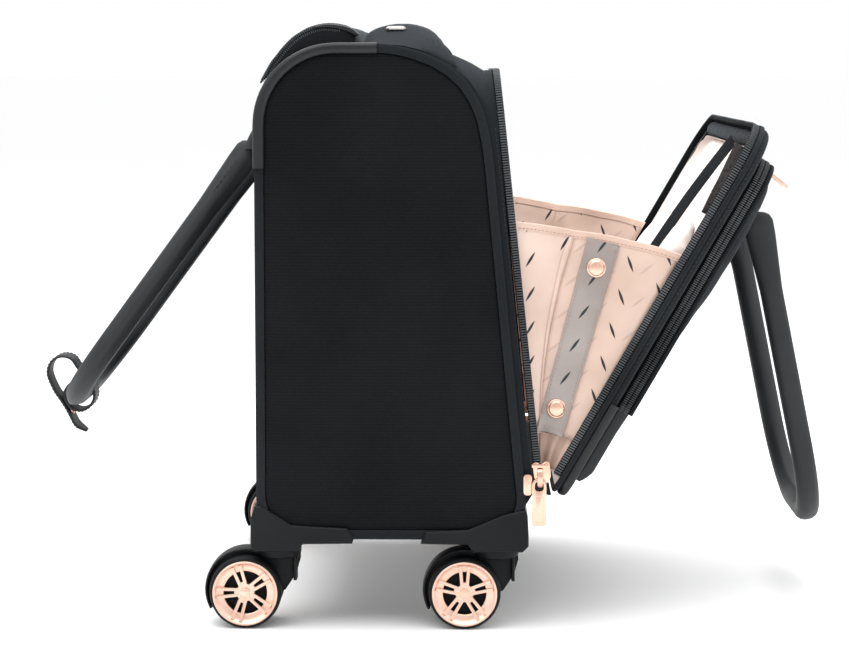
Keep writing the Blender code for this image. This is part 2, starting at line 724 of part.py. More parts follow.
# ---------------------------------------------------------------- zip hardware
def build_main_sliders():
    for name, sign in sides():
        y0 = sign * (HALF_W + 0.4)
        y1 = sign * (HALF_W + 3.4)
        body = []
        for s, t in ((5.0, -4.0), (5.0, 4.0), (9.0, 5.6), (20.0, 5.6), (20.0, -5.6), (9.0, -5.6)):
            body.append(mouth_point(s, t))
        slider = make("zip_slider_" + name, *prism_y(body, y0, y1), "rose")
        cx, cz = mouth_point(7.6, -2.7)
        bridge = box(cx - 3.6, cx + 3.6, *sorted((y1 - sign * 0.5, y1 + sign * 3.7)), cz - 3.0, cz + 5.0)
        boolean(slider, make("bridge", *bridge, None), "UNION")
        slot = box(cx - 9.0, cx + 9.0, *sorted((y1 + sign * 0.1, y1 + sign * 2.5)), cz - 1.9, cz + 2.4)
        boolean(slider, make("cut", *slot, None))
        yc = y1 + sign * 1.3
        build_pull("zip_pull_" + name, cx, yc, cz)


def build_pull(name, cx, yc, cz):
    """Flat tab hanging from a cross bar that runs through the slider's bridge."""
    outline = [(-5.2, 0.6), (5.2, 0.6), (5.2, -33.5), (3.8, -36.0), (-3.8, -36.0), (-5.2, -33.5)]
    pts = [(cx + x, cz + z) for x, z in reversed(outline)]
    pull = make(name, *prism_y(pts, yc - 0.6, yc + 0.6), "rose", (cx, yc, cz))
    window = box(cx - 4.0, cx + 4.0, yc - 3.0, yc + 3.0, cz - 7.5, cz - 0.6)
    boolean(pull, make("cut", *window, None))


def build_pocket_sliders():
    for name, sign in sides():
        y = sign * 12.0
        body = []
        for s, t in ((289.8, 17.0), (289.8, 27.0), (292.4, 26.0), (292.4, 18.0)):
            body.append((s, t))
        rings = []
        for v in (y - 4.5, y + 4.5):
            rings.append([lid_point(s, t, v) for s, t in body])
        slider = make("pocket_slider_" + name, *loft(rings), "rose")
        s0, t0 = 291.0, 28.2
        rings = []
        stations = [(s0, t0, 1.0), (s0 - 1.0, t0 + 6.0, 3.6), (s0 - 6.2, t0 + 27.0, 3.6), (s0 - 6.9, t0 + 30.0, 2.4)]
        for s, t, h in stations:
            ring = []
            for dv, ds in ((-h, -0.6), (h, -0.6), (h, 0.6), (-h, 0.6)):
                ring.append(lid_point(s + ds, t, y + dv))
            rings.append(ring)
        ox, _, oz = lid_point(s0, t0)
        make("pocket_pull_" + name, *loft(rings), "rose", (ox, y, oz))


def main():
    clear_scene()
    build_case_shell()
    build_side_panels()
    build_piping()
    build_case_tape()
    build_hinge_strip()
    build_guards()
    build_back_pocket()
    build_trolley()
    build_grab_handle()
    build_lid()
    build_front_pocket()
    build_gussets()
    build_casters()
    build_handles()
    build_main_sliders()
    build_pocket_sliders()


main()
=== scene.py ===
"""Looks of the soft rolling vanity case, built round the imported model.

Lengths are millimetres in the case's own drawing frame (x forward, y left, z up, s and t along and out of
the mouth or lid plane). world() moves them into the row frame in metres. Materials and the stage are in metres.
"""

import json
import math

import bmesh
import bpy
import numpy as np
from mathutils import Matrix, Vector, noise

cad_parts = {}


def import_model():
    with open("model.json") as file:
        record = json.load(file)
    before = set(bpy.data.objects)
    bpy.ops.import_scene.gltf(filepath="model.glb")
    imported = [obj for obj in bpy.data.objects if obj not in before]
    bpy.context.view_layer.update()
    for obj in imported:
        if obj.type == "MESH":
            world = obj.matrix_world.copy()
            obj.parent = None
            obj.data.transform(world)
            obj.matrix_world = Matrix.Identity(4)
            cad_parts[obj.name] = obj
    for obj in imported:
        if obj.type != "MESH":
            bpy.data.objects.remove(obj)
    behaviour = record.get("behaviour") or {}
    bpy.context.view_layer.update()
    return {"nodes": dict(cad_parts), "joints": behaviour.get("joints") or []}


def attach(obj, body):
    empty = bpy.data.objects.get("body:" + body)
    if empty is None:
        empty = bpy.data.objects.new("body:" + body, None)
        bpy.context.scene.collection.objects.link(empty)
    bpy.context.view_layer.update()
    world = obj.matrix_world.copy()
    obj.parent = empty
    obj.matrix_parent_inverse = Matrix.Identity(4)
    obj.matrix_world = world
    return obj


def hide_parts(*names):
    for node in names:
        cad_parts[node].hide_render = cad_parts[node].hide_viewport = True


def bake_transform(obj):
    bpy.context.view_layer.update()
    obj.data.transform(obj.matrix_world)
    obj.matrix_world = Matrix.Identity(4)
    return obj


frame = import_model()

MM = 0.001
HALF_W = 168.0
SHELL_T = 4.0
LINING_T = 4.7
BACK_X = -121.0
TOP_Z = 434.5
BASE_Z = 71.0
PIPE_TOP = 436.0
PIPE_Y0 = 168.3
PIPE_W = 7.0
HINGE_X = 90.5
HINGE_Z = 107.5
MOUTH_LEAN = -6.07
LID_LEAN = 29.93
MOUTH_TOP = 311.0
MOUTH_R = 37.0
TAPE_T = 6.0
WHEEL_R = 27.0
TRAIL = 24.0
REAR_SWIVEL_X = -108.0
FRONT_SWIVEL_X = 56.0
SWIVEL_Y = 146.0
HANDLE_Y = 85.0
BACK_PIVOT = (-133.5, 356.0)
BACK_SWING = 36.2
BACK_HANDLE_L = 247.0
LID_HANDLE_S = 252.0
LID_HANDLE_T = 47.0
LID_HANDLE_L = 243.0
LID_SWING = 11.5
TROLLEY_HOLE_X = (-114.9, -85.1)
TROLLEY_HOLE_Y = 75.9
LINING_MIN_X = -83.5
CAMERA_AT = (0.02724, -1.76046, 0.42158)
CAMERA_LENS = 92.257
CAMERA_PITCH = 4.9
CAMERA_YAW = 1.048
CAMERA_SHIFT = -0.1


def joint_place(name):
    return next(j for j in frame["joints"] if j["name"] == name)["pos_m"]


SHIFT_X = joint_place("lid_hinge")[0] / MM - HINGE_X


# ---------------------------------------------------------------- points and meshes
def world(p):
    return Vector(((p[0] + SHIFT_X) * MM, p[1] * MM, p[2] * MM))


def mesh_piece(name, verts, faces, mat, sharp=42.0):
    """Mesh object from drawing-frame millimetres, welded, normals out, smooth with sharp edges."""
    bm = bmesh.new()
    made = [bm.verts.new(world(v)) for v in verts]
    for face in faces:
        if len(set(face)) > 2:
            bm.faces.new([made[i] for i in face])
    bmesh.ops.remove_doubles(bm, verts=bm.verts[:], dist=2e-6)
    bmesh.ops.recalc_face_normals(bm, faces=bm.faces[:])
    mesh = bpy.data.meshes.new(name)
    bm.to_mesh(mesh)
    bm.free()
    mesh.shade_smooth()
    mesh.set_sharp_from_angle(angle=math.radians(sharp))
    obj = bpy.data.objects.new(name, mesh)
    bpy.context.scene.collection.objects.link(obj)
    obj.data.materials.append(mat)
    return obj


def merged(parts):
    """One (verts, faces) pair from several."""
    verts = []
    faces = []
    for v, f in parts:
        base = len(verts)
        verts += list(v)
        faces += [tuple(i + base for i in face) for face in f]
    return verts, faces


def on(obj, body, slot, *nodes):
    """Rides on the body and stands for the nodes; the slot is not used."""
    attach(obj, body)
    if nodes:
        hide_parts(*nodes)
    return obj


def modifier(obj, kind, **values):
    mod = obj.modifiers.new(kind.lower(), kind)
    for key, value in values.items():
        setattr(mod, key, value)
    return mod


def apply_modifiers(obj):
    bpy.context.view_layer.update()
    graph = bpy.context.evaluated_depsgraph_get()
    mesh = bpy.data.meshes.new_from_object(obj.evaluated_get(graph))
    obj.modifiers.clear()
    old = obj.data
    obj.data = mesh
    bpy.data.meshes.remove(old)
    mesh.name = obj.name
    return obj


def thicken(obj, thickness):
    modifier(obj, "SOLIDIFY", thickness=thickness, offset=0.0)


def cut_out(obj, rings):
    """Takes the closed solid through these rings out of the object."""
    cutter = mesh_piece("cutter", *loft(rings), obj.data.materials[0])
    modifier(obj, "BOOLEAN", operation="DIFFERENCE", solver="EXACT", object=cutter)
    apply_modifiers(obj)
    bpy.data.objects.remove(cutter, do_unlink=True)


def turns(n, start=0.0):
    """Angles in radians of n even stations round a full turn."""
    return [2 * math.pi * (k + start) / n for k in range(n)]


def signed_power(value, power):
    return math.copysign(abs(value) ** power, value)


def loft(rings, cap=True):
    """Closed surface through rings of points, with its two end caps."""
    n = len(rings[0])
    verts = [v for ring in rings for v in ring]
    faces = []
    for k in range(len(rings) - 1):
        for j in range(n):
            a = k * n + j
            b = k * n + (j + 1) % n
            faces.append((a, b, b + n, a + n))
    if cap:
        faces.append(tuple(range(n)))
        faces.append(tuple(range((len(rings) - 1) * n, len(rings) * n)))
    return verts, faces


def sheet_grid(grid):
    """Open surface from rows of points."""
    n = len(grid[0])
    verts = [v for row in grid for v in row]
    faces = []
    for k in range(len(grid) - 1):
        for j in range(n - 1):
            a = k * n + j
            faces.append((a, a + 1, a + n + 1, a + n))
    return verts, faces


def arc(cx, cz, r, a0, a1, n):
    out = []
    for i in range(n + 1):
        a = math.radians(a0 + (a1 - a0) * i / n)
        out.append((cx + r * math.cos(a), cz + r * math.sin(a)))
    return out


def even(points, step, closed=False):
    """Points at an even spacing along a polyline, measured on its first two or three columns."""
    p = np.array(points, float)
    if closed:
        p = np.vstack([p, p[:1]])
    dims = min(3, p.shape[1])
    lengths = np.linalg.norm(np.diff(p[:, :dims], axis=0), axis=1)
    at = np.concatenate([[0.0], np.cumsum(lengths)])
    n = max(3, int(round(at[-1] / step)))
    want = np.linspace(0.0, at[-1], n + 1)
    if closed:
        want = want[:-1]
    return np.stack([np.interp(want, at, p[:, c]) for c in range(p.shape[1])], axis=1)


def split_long(points, longest, closed):
    """The same points with long segments cut up, so that a curve through them stays straight there."""
    p = np.array(points, float)
    out = []
    for i in range(len(p) if closed else len(p) - 1):
        a, b = p[i], p[(i + 1) % len(p)]
        n = max(1, math.ceil(np.linalg.norm((b - a)[:3]) / longest))
        out += [a + (b - a) * k / n for k in range(n)]
    if not closed:
        out.append(p[-1])
    return np.array(out)


def spline(points, step, closed=False):
    """Even points on a Catmull-Rom curve through the given ones."""
    p = split_long(points, 14.0, closed)
    if closed:
        q = np.vstack([p[-1:], p, p[:2]])
    else:
        q = np.vstack([2 * p[:1] - p[1:2], p, 2 * p[-1:] - p[-2:-1]])
    out = []
    for i in range(len(q) - 3):
        a, b, c, d = q[i : i + 4]
        for u in np.linspace(0.0, 1.0, 10, endpoint=False):
            out.append(
                0.5 * (2 * b + (c - a) * u + (2 * a - 5 * b + 4 * c - d) * u**2 + (3 * b - a - 3 * c + d) * u**3)
            )
    if not closed:
        out.append(q[-2])
    return even(out, step, closed)


def tangents(path, closed=False):
    p = np.array(path, float)
    if closed:
        d = np.roll(p, -1, axis=0) - np.roll(p, 1, axis=0)
    else:
        d = np.gradient(p, axis=0)
    return d / np.maximum(1e-9, np.linalg.norm(d, axis=1))[:, None]


def ribbon(path, section, place, closed=False):
    """Solid swept along a flat path. Section points are (out of the path, across its plane)."""
    t = tangents(path, closed)
    rings = []
    for (a, b), (ta, tb) in zip(path, t):
        rings.append([place(a + tb * u, b - ta * u, v) for u, v in section])
    if closed:
        rings.append(rings[0])
    return loft(rings, cap=not closed)


def rounded(u0, u1, v0, v1, n=12, power=0.6):
    """Rounded section between u0..u1 and v0..v1."""
    out = []
    for a in turns(n, 0.5):
        c = signed_power(math.cos(a), power)
        s = signed_power(math.sin(a), power)
        out.append(((u0 + u1) / 2 + (u1 - u0) / 2 * c, (v0 + v1) / 2 + (v1 - v0) / 2 * s))
    return out


def teeth(path, place, pitch, low, high, v0, v1):
    """Coil teeth across a flat path, each a bar with rounded ends from v0 to v1."""
    points = even(path, pitch)
    t = tangents(points)
    parts = []
    half = pitch * 0.33
    for (a, b), (ta, tb) in zip(points, t):
        rings = []
        for v, f in ((v0, 0.35), (v0 + 0.55, 1.0), (v1 - 0.55, 1.0), (v1, 0.35)):
            ring = []
            for w in turns(6):
                along = half * f * math.cos(w)
                out = (low + high) / 2 + (high - low) / 2 * math.sin(w) * f
                ring.append(place(a + ta * along + tb * out, b + tb * along - ta * out, v))
            rings.append(ring)
        parts.append(loft(rings))
    return merged(parts)


def stitches(path, length=2.6, gap=1.3, radius=0.3):
    """Row of short thread capsules along a 3-D path of drawing-frame points."""
    p = even(path, length + gap)
    t = tangents(p)
    parts = []
    for point, tangent in zip(p, t):
        d = Vector(tangent)
        side = d.orthogonal().normalized()
        other = d.cross(side)
        rings = []
        for at, f in ((-0.5, 0.4), (-0.3, 1.0), (0.3, 1.0), (0.5, 0.4)):
            centre = Vector(point) + d * (at * length)
            ring = []
            for w in turns(5):
                ring.append(tuple(centre + (side * math.cos(w) + other * math.sin(w)) * radius * f))
            rings.append(ring)
        parts.append(loft(rings))
    return merged(parts)


def tube(path, normal, section_at):
    """Solid along a path in the plane with that normal; section_at(share) gives (in plane, across) points."""
    p = [Vector(q) for q in path]
    n = Vector(normal).normalized()
    t = tangents([tuple(q) for q in p])
    rings = []
    at = np.concatenate([[0.0], np.cumsum([(b - a).length for a, b in zip(p, p[1:])])])
    for i, q in enumerate(p):
        side = Vector(t[i]).cross(n).normalized()
        rings.append([tuple(q + side * a + n * b) for a, b in section_at(float(at[i] / at[-1]))])
    return loft(rings)


def lathe(profile, cx, cz, segs):
    """Ring solid about a Y axis from a closed (radius, y) profile."""
    rings = []
    for w in turns(segs):
        rings.append([(cx + r * math.cos(w), y, cz + r * math.sin(w)) for r, y in profile])
    rings.append(rings[0])
    return loft(rings, cap=False)


def dome(centre, axis, radius, height, rings=6, segs=24):
    """Low round cap with a rolled rim, standing on a surface."""
    c = Vector(centre)
    n = Vector(axis).normalized()
    side = n.orthogonal().normalized()
    other = n.cross(side)
    profile = [(1.0, -0.25), (1.0, 0.15), (0.95, 0.3), (0.86, 0.34), (0.8, 0.42)]
    for k in range(1, rings + 1):
        a = math.pi / 2 * k / rings
        profile.append((0.8 * math.cos(a), 0.42 + 0.58 * math.sin(a)))
    out = []
    for r, h in profile:
        ring = []
        for w in turns(segs):
            p = c + (side * math.cos(w) + other * math.sin(w)) * (radius * max(r, 0.01)) + n * (h * height)
            ring.append(tuple(p))
        out.append(ring)
    return loft(out)


def offset(points, d):
    """Inward offset of a closed anticlockwise outline."""
    p = np.array(points, float)
    t = tangents(p, closed=True)
    return np.stack([p[:, 0] - t[:, 1] * d, p[:, 1] + t[:, 0] * d], axis=1)


def sides():
    return (("left", 1.0), ("right", -1.0))


def plane_point(lean, s, t, y):
    a = math.radians(lean)
    x = HINGE_X + s * math.sin(a) + t * math.cos(a)
    return (x, y, HINGE_Z + s * math.cos(a) - t * math.sin(a))


def mouth_at(s, t, y=0.0):
    return plane_point(MOUTH_LEAN, s, t, y)


def lid_at(s, t, y=0.0):
    return plane_point(LID_LEAN, s, t, y)


def on_mouth(y, s, t):
    return mouth_at(s, t, y)


def on_lid(y, s, t):
    return lid_at(s, t, y)


def ripple(p, scale, height, seed=0.0):
    """Smooth noise value for gentle cloth unevenness, in millimetres."""
    return height * noise.noise(Vector((p[0] / scale + seed, p[1] / scale, p[2] / scale)))


def plate_outline(half_w, s0, s1, r_top, r_low, n=12):
    pts = arc(half_w - r_low, s0 + r_low, r_low, -90, 0, n // 2)
    pts += arc(half_w - r_top, s1 - r_top, r_top, 0, 90, n)
    pts += arc(-half_w + r_top, s1 - r_top, r_top, 90, 180, n)
    pts += arc(-half_w + r_low, s0 + r_low, r_low, 180, 270, n // 2)
    return pts


def u_path(half_w, s0, s1, r_top, step=3.0):
    """Up one side of the mouth, over its top and down the other, in (y, s)."""
    pts = [(half_w, s0)] + arc(half_w - r_top, s1 - r_top, r_top, 0, 90, 24)
    pts += arc(-half_w + r_top, s1 - r_top, r_top, 90, 180, 24) + [(-half_w, s0)]
    return even(pts, step)


def side_outline():
    """Outer edge of the side piping in XZ, anticlockwise."""
    pts = arc(-91.0, 101.0, 32.0, 180, 270, 6) + arc(47.0, 99.5, 30.5, 270, 365, 6)
    pts += [(68.7, 190.0), (60.5, 273.0), (53.4, 346.0)]
    pts += [(51.6, 360.0), (49.3, 372.4), (46.2, 384.5), (41.2, 396.0), (33.0, 408.5)]
    pts += [(22.1, 418.5), (9.5, 426.0), (-5.2, 431.5), (-17.0, 434.4), (-30.0, PIPE_TOP)]
    pts += arc(-63.0, 376.0, 60.0, 90, 180, 8)
    return spline(pts[:-1] + [(-123.0, 376.0), (-123.0, 240.0)], 4.0, closed=True)


def shell_rows():
    """Rows (x, z, cap x, cap z, rounding width) from the mouth's top round the back to the hinge sill."""
    top = mouth_at(MOUTH_TOP, -TAPE_T - 0.3)
    cap = mouth_at(MOUTH_TOP - MOUTH_R, -TAPE_T - 0.3)
    rows = [(top[0], top[2], cap[0], cap[2], 37.0)]
    rows += [(46.5, 415.2, 52.6, 380.0, 36.0), (35.0, 422.0, 47.5, 389.0, 32.0)]
    rows += [(22.0, 428.2, 39.0, 403.0, 26.0), (10.0, 432.0, 24.0, 415.5, 20.0)]
    rows += [(-4.0, 434.0, 4.0, 426.5, 13.0), (-18.0, TOP_Z, -14.0, 430.5, 7.0)]
    rows += [(-32.0, TOP_Z, -32.0, 431.0, 4.0)]
    plain = arc(-63.0, 376.5, 58.0, 90, 180, 8) + [(BACK_X, 300.0), (BACK_X, 240.0), (BACK_X, 170.0)]
    plain += arc(-89.0, 103.0, 32.0, 180, 270, 6) + [(-55.0, BASE_Z), (-20.0, BASE_Z), (15.0, BASE_Z)]
    plain += arc(47.0, 100.5, 29.5, 270, 340, 5)
    t = tangents(plain)
    for (x, z), (tx, tz) in zip(plain, t):
        rows.append((x, z, x - tz * 3.5, z + tx * 3.5, 4.0))
    low = mouth_at(-1.0, -TAPE_T - 0.3)
    rows.append((80.5, 98.5, 77.5, 98.5, 4.0))
    rows.append((low[0], low[2], low[0] - 2.0, low[2] - 0.2, 4.0))
    return spline(rows, 6.0)


def shell_grid(thick, wave=0.0):
    """Shell surface by row and Y station, pushed in by thick, with cloth waves of that height."""
    half_w = HALF_W - thick
    rows = shell_rows()
    t = tangents(rows[:, :2])
    inset = [0.0, 0.5, 1.2, 2.2, 3.5, 5.0, 7.0, 9.5, 12.5, 16.0, 20.0, 25.0, 31.0, 37.0]
    right = [-(half_w - d) for d in inset] + [-107.0, -83.0, -60.0, -40.0, -20.0]
    stations = right + [0.0] + [-y for y in reversed(right)]
    grid = []
    for i, (x, z, cx, cz, width) in enumerate(rows):
        inward = np.array((-t[i][1], t[i][0])) * thick
        line = []
        for y in stations:
            q = max(0.0, min(1.0, (abs(y) - (half_w - width)) / width))
            f = 1.0 - math.sqrt(max(0.0, 1.0 - q * q))
            px = x + (cx - x) * f + inward[0]
            pz = z + (cz - z) * f + inward[1]
            w = ripple((px, y, pz), 55.0, wave, thick) * (1.0 - f)
            line.append((px + t[i][1] * w, y, pz - t[i][0] * w))
        grid.append(line)
    return grid


# ---------------------------------------------------------------- materials
class Graph:
    """A material's node tree, with short ways to add nodes to it."""

    def __init__(self, name, rough, metal=0.0, specular=0.5):
        self.mat = bpy.data.materials.new(name)
        self.mat.use_nodes = True
        self.tree = self.mat.node_tree
        self.shader = self.tree.nodes["Principled BSDF"]
        self.shader.inputs["Roughness"].default_value = rough
        self.shader.inputs["Metallic"].default_value = metal
        self.shader.inputs["Specular IOR Level"].default_value = specular
        self.coord = self.tree.nodes.new("ShaderNodeTexCoord")

    def socket(self, target, value):
        if isinstance(value, bpy.types.NodeSocket):
            self.tree.links.new(value, target)
        else:
            target.default_value = value

    def math(self, op, a, b=0.0):
        node = self.tree.nodes.new("ShaderNodeMath")
        node.operation = op
        self.socket(node.inputs[0], a)
        self.socket(node.inputs[1], b)
        return node.outputs[0]

    def axes(self, output="Object"):
        node = self.tree.nodes.new("ShaderNodeSeparateXYZ")
        self.tree.links.new(self.coord.outputs[output], node.inputs[0])
        return node.outputs

    def noise(self, scale, detail=3.0, stretch=(1.0, 1.0, 1.0)):
        mapping = self.tree.nodes.new("ShaderNodeMapping")
        mapping.inputs["Scale"].default_value = stretch
        self.tree.links.new(self.coord.outputs["Object"], mapping.inputs["Vector"])
        node = self.tree.nodes.new("ShaderNodeTexNoise")
        node.inputs["Scale"].default_value = scale
        node.inputs["Detail"].default_value = detail
        self.tree.links.new(mapping.outputs[0], node.inputs["Vector"])
        return node.outputs[0]

    def cells(self, scale):
        node = self.tree.nodes.new("ShaderNodeTexVoronoi")
        node.inputs["Scale"].default_value = scale
        self.tree.links.new(self.coord.outputs["Object"], node.inputs["Vector"])
        return node.outputs["Distance"]

    def spread(self, value, low, high, to_low=0.0, to_high=1.0):
        node = self.tree.nodes.new("ShaderNodeMapRange")
        self.socket(node.inputs["Value"], value)
        for key, number in (("From Min", low), ("From Max", high), ("To Min", to_low), ("To Max", to_high)):
            node.inputs[key].default_value = number
        return node.outputs[0]

    def mix(self, share, a, b):
        node = self.tree.nodes.new("ShaderNodeMix")
        node.data_type = "RGBA"
        self.socket(node.inputs["Factor"], share)
        for target, value in ((node.inputs["A"], a), (node.inputs["B"], b)):
            self.socket(target, value if isinstance(value, bpy.types.NodeSocket) else (*value, 1.0))
        return node.outputs["Result"]

    def colour(self, value):
        self.tree.links.new(value, self.shader.inputs["Base Color"])

    def rough(self, value, low, high):
        self.tree.links.new(self.spread(value, 0.25, 0.75, low, high), self.shader.inputs["Roughness"])

    def bump(self, height, distance, strength=1.0):
        node = self.tree.nodes.new("ShaderNodeBump")
        node.inputs["Strength"].default_value = strength
        node.inputs["Distance"].default_value = distance
        self.tree.links.new(height, node.inputs["Height"])
        self.tree.links.new(node.outputs[0], self.shader.inputs["Normal"])

    def weave(self, pitch):
        """Over and under threads on whichever plane the surface faces, from -1 to 1."""
        turn = 2 * math.pi / pitch
        waves = [self.math("SINE", self.math("MULTIPLY", axis, turn)) for axis in self.axes()]
        total = None
        for k, facing in enumerate(self.axes("Normal")):
            pair = self.math("MULTIPLY", waves[(k + 1) % 3], waves[(k + 2) % 3])
            part = self.math("MULTIPLY", pair, self.math("MULTIPLY", facing, facing))
            total = part if total is None else self.math("ADD", total, part)
        return total

    def sheen(self, weight, rough, tint):
        self.shader.inputs["Sheen Weight"].default_value = weight
        self.shader.inputs["Sheen Roughness"].default_value = rough
        self.shader.inputs["Sheen Tint"].default_value = (*tint, 1.0)


def cloth_material(name, dark, light, pitch, sheen=0.12, depth=0.00022, rib=0.0):
    g = Graph(name, 0.9, 0.0, 0.06)
    threads = g.weave(pitch)
    if rib:
        ribs = g.math("SINE", g.math("MULTIPLY", g.axes()[2], 2 * math.pi / rib))
        threads = g.math("ADD", threads, g.math("MULTIPLY", ribs, 0.55))
    patches = g.noise(9.0, 4.0)
    fibres = g.noise(1500.0, 2.0)
    share = g.math("ADD", g.spread(patches, 0.3, 0.7, 0.0, 0.5), g.spread(fibres, 0.3, 0.7, -0.15, 0.3))
    share = g.math("ADD", share, g.math("MULTIPLY", threads, 0.22))
    g.colour(g.mix(share, dark, light))
    g.bump(g.math("ADD", threads, g.math("MULTIPLY", fibres, 0.9)), depth, 0.8)
    g.rough(patches, 0.82, 0.95)
    g.sheen(sheen, 0.5, (0.75, 0.82, 0.9))
    return g.mat


def vinyl_material(name, dark, light, rough):
    g = Graph(name, rough, 0.0, 0.28)
    patches = g.noise(14.0, 4.0)
    grain = g.cells(1500.0)
    g.colour(g.mix(g.spread(patches, 0.3, 0.7), dark, light))
    g.bump(g.math("ADD", grain, g.math("MULTIPLY", g.noise(160.0), 0.5)), 0.00012, 0.5)
    g.rough(patches, rough - 0.06, rough + 0.1)
    g.shader.inputs["Coat Weight"].default_value = 0.08
    g.shader.inputs["Coat Roughness"].default_value = 0.35
    return g.mat


def leather_material():
    g = Graph("handle_leather", 0.5, 0.0, 0.3)
    patches = g.noise(11.0, 5.0)
    grain = g.cells(1100.0)
    creases = g.noise(90.0, 5.0, (1.0, 1.0, 0.35))
    g.colour(g.mix(g.spread(patches, 0.3, 0.7), (0.0100, 0.0115, 0.0135), (0.0210, 0.0235, 0.0265)))
    g.bump(g.math("ADD", grain, g.math("MULTIPLY", creases, 1.2)), 0.00025, 0.5)
    g.rough(g.math("ADD", g.math("MULTIPLY", patches, 0.6), g.math("MULTIPLY", grain, 0.4)), 0.42, 0.62)
    return g.mat


def plastic_material(name, dark, light, rough):
    g = Graph(name, rough, 0.0, 0.16)
    patches = g.noise(18.0, 3.0)
    spark = g.noise(2600.0, 2.0)
    g.colour(g.mix(g.spread(patches, 0.3, 0.7), dark, light))
    g.bump(spark, 0.00006, 0.5)
    g.rough(patches, rough - 0.07, rough + 0.08)
    return g.mat


def metal_material(name, dark, light, rough, brushed=(1.0, 1.0, 1.0)):
    g = Graph(name, rough, 1.0)
    scratches = g.noise(420.0, 4.0, brushed)
    tarnish = g.noise(35.0, 3.0)
    g.colour(g.mix(g.spread(tarnish, 0.3, 0.7), dark, light))
    g.bump(scratches, 0.00002, 0.35)
    g.rough(scratches, rough - 0.06, rough + 0.08)
    return g.mat


def dashes(g, pitch, lattice, lean, stagger=0.45, shift=0.0):
    """Leaf-shaped dashes on a staggered lattice in the XZ plane; 1 on a dash, 0 off it. Angles in degrees."""
    x, _, z = g.axes()
    c, s = math.cos(math.radians(lattice)), math.sin(math.radians(lattice))
    u = g.math("ADD", g.math("MULTIPLY", x, c), g.math("MULTIPLY", z, s))
    v = g.math("SUBTRACT", g.math("MULTIPLY", z, c), g.math("MULTIPLY", x, s))
    u = g.math("ADD", g.math("DIVIDE", u, pitch), shift)
    column = g.math("FLOOR", u)
    v = g.math("ADD", g.math("DIVIDE", v, pitch), g.math("MULTIPLY", column, stagger))
    du = g.math("MULTIPLY", g.math("SUBTRACT", g.math("FRACT", u), 0.5), pitch)
    dv = g.math("MULTIPLY", g.math("SUBTRACT", g.math("FRACT", v), 0.5), pitch)
    c, s = math.cos(math.radians(lean - lattice)), math.sin(math.radians(lean - lattice))
    along = g.math("ADD", g.math("MULTIPLY", du, c), g.math("MULTIPLY", dv, s))
    across = g.math("SUBTRACT", g.math("MULTIPLY", dv, c), g.math("MULTIPLY", du, s))
    reach = g.math("DIVIDE", along, 0.0066)
    reach = g.math("MULTIPLY", reach, reach)
    reach = g.math("ADD", reach, g.math("DIVIDE", g.math("ABSOLUTE", across), 0.001))
    return g.spread(reach, 0.85, 1.15, 1.0, 0.0)


def lining_material(name, base, shade, marks, ghost=None, rough=0.72):
    """Smooth printed lining: marks are the dash lattice numbers, ghost the print that shows through."""
    g = Graph(name, rough, 0.0, 0.15)
    patches = g.noise(16.0, 4.0)
    fibres = g.noise(1800.0, 2.0)
    colour = g.mix(g.spread(patches, 0.32, 0.68), base, shade)
    if ghost:
        seen = g.math("MULTIPLY", dashes(g, *ghost), 0.32)
        colour = g.mix(seen, colour, (0.28, 0.22, 0.20))
    if marks:
        colour = g.mix(dashes(g, *marks), colour, (0.030, 0.032, 0.036))
    g.colour(colour)
    creases = g.noise(38.0, 5.0)
    height = g.math("ADD", g.math("MULTIPLY", creases, 3.0), g.math("ADD", fibres, g.weave(0.0011)))
    g.bump(height, 0.00016, 0.6)
    g.sheen(0.2, 0.4, (1.0, 0.95, 0.92))
    return g.mat


def mesh_material():
    g = Graph("pocket_mesh", 0.8, 0.0, 0.1)
    holes = g.cells(520.0)
    g.colour(g.mix(g.spread(holes, 0.1, 0.5), (0.012, 0.012, 0.014), (0.055, 0.052, 0.052)))
    g.bump(holes, 0.0005, 0.8)
    g.sheen(0.1, 0.4, (1.0, 1.0, 1.0))
    return g.mat


BODY = cloth_material("body_fabric", (0.0070, 0.0083, 0.0096), (0.0235, 0.0265, 0.0295), 0.0013, 0.10)
PANEL = cloth_material(
    "side_fabric", (0.0040, 0.0047, 0.0056), (0.0135, 0.0152, 0.0172), 0.0012, 0.03, 0.00025, 0.0024
)
TAPE = cloth_material("zip_tape", (0.0025, 0.0030, 0.0036), (0.0085, 0.0095, 0.0108), 0.0009, 0.02, 0.0003)
WEBBING = cloth_material("dark_webbing", (0.010, 0.012, 0.014), (0.036, 0.041, 0.046), 0.0019, 0.15, 0.0004)
VINYL = vinyl_material("piping_vinyl", (0.0045, 0.0055, 0.0066), (0.0105, 0.0122, 0.0138), 0.33)
LEATHER = leather_material()
GUARD = plastic_material("guard_plastic", (0.0028, 0.0034, 0.0042), (0.0075, 0.0086, 0.0098), 0.46)
TYRE = plastic_material("tyre_rubber", (0.0032, 0.0036, 0.0042), (0.0075, 0.0082, 0.0090), 0.6)
# Coil teeth are black nylon; their base colour is raised to grey, a painted highlight on every tooth.
PAINTED_HIGHLIGHT_COIL = plastic_material("coil_nylon", (0.040, 0.044, 0.048), (0.100, 0.108, 0.115), 0.3)
THREAD = plastic_material("thread", (0.018, 0.020, 0.022), (0.040, 0.043, 0.046), 0.6)
PINK_THREAD = plastic_material("pink_thread", (0.30, 0.17, 0.13), (0.42, 0.26, 0.20), 0.6)
ROSE = metal_material("rose_metal", (0.72, 0.44, 0.33), (0.82, 0.55, 0.43), 0.24)
RIM = metal_material("rim_metal", (0.72, 0.47, 0.37), (0.82, 0.58, 0.47), 0.34)
STEEL = metal_material("axle_steel", (0.55, 0.55, 0.56), (0.66, 0.66, 0.67), 0.3, (1.0, 0.05, 1.0))
ALLOY = metal_material("trolley_metal", (0.60, 0.61, 0.63), (0.72, 0.73, 0.75), 0.34, (1.0, 1.0, 0.04))
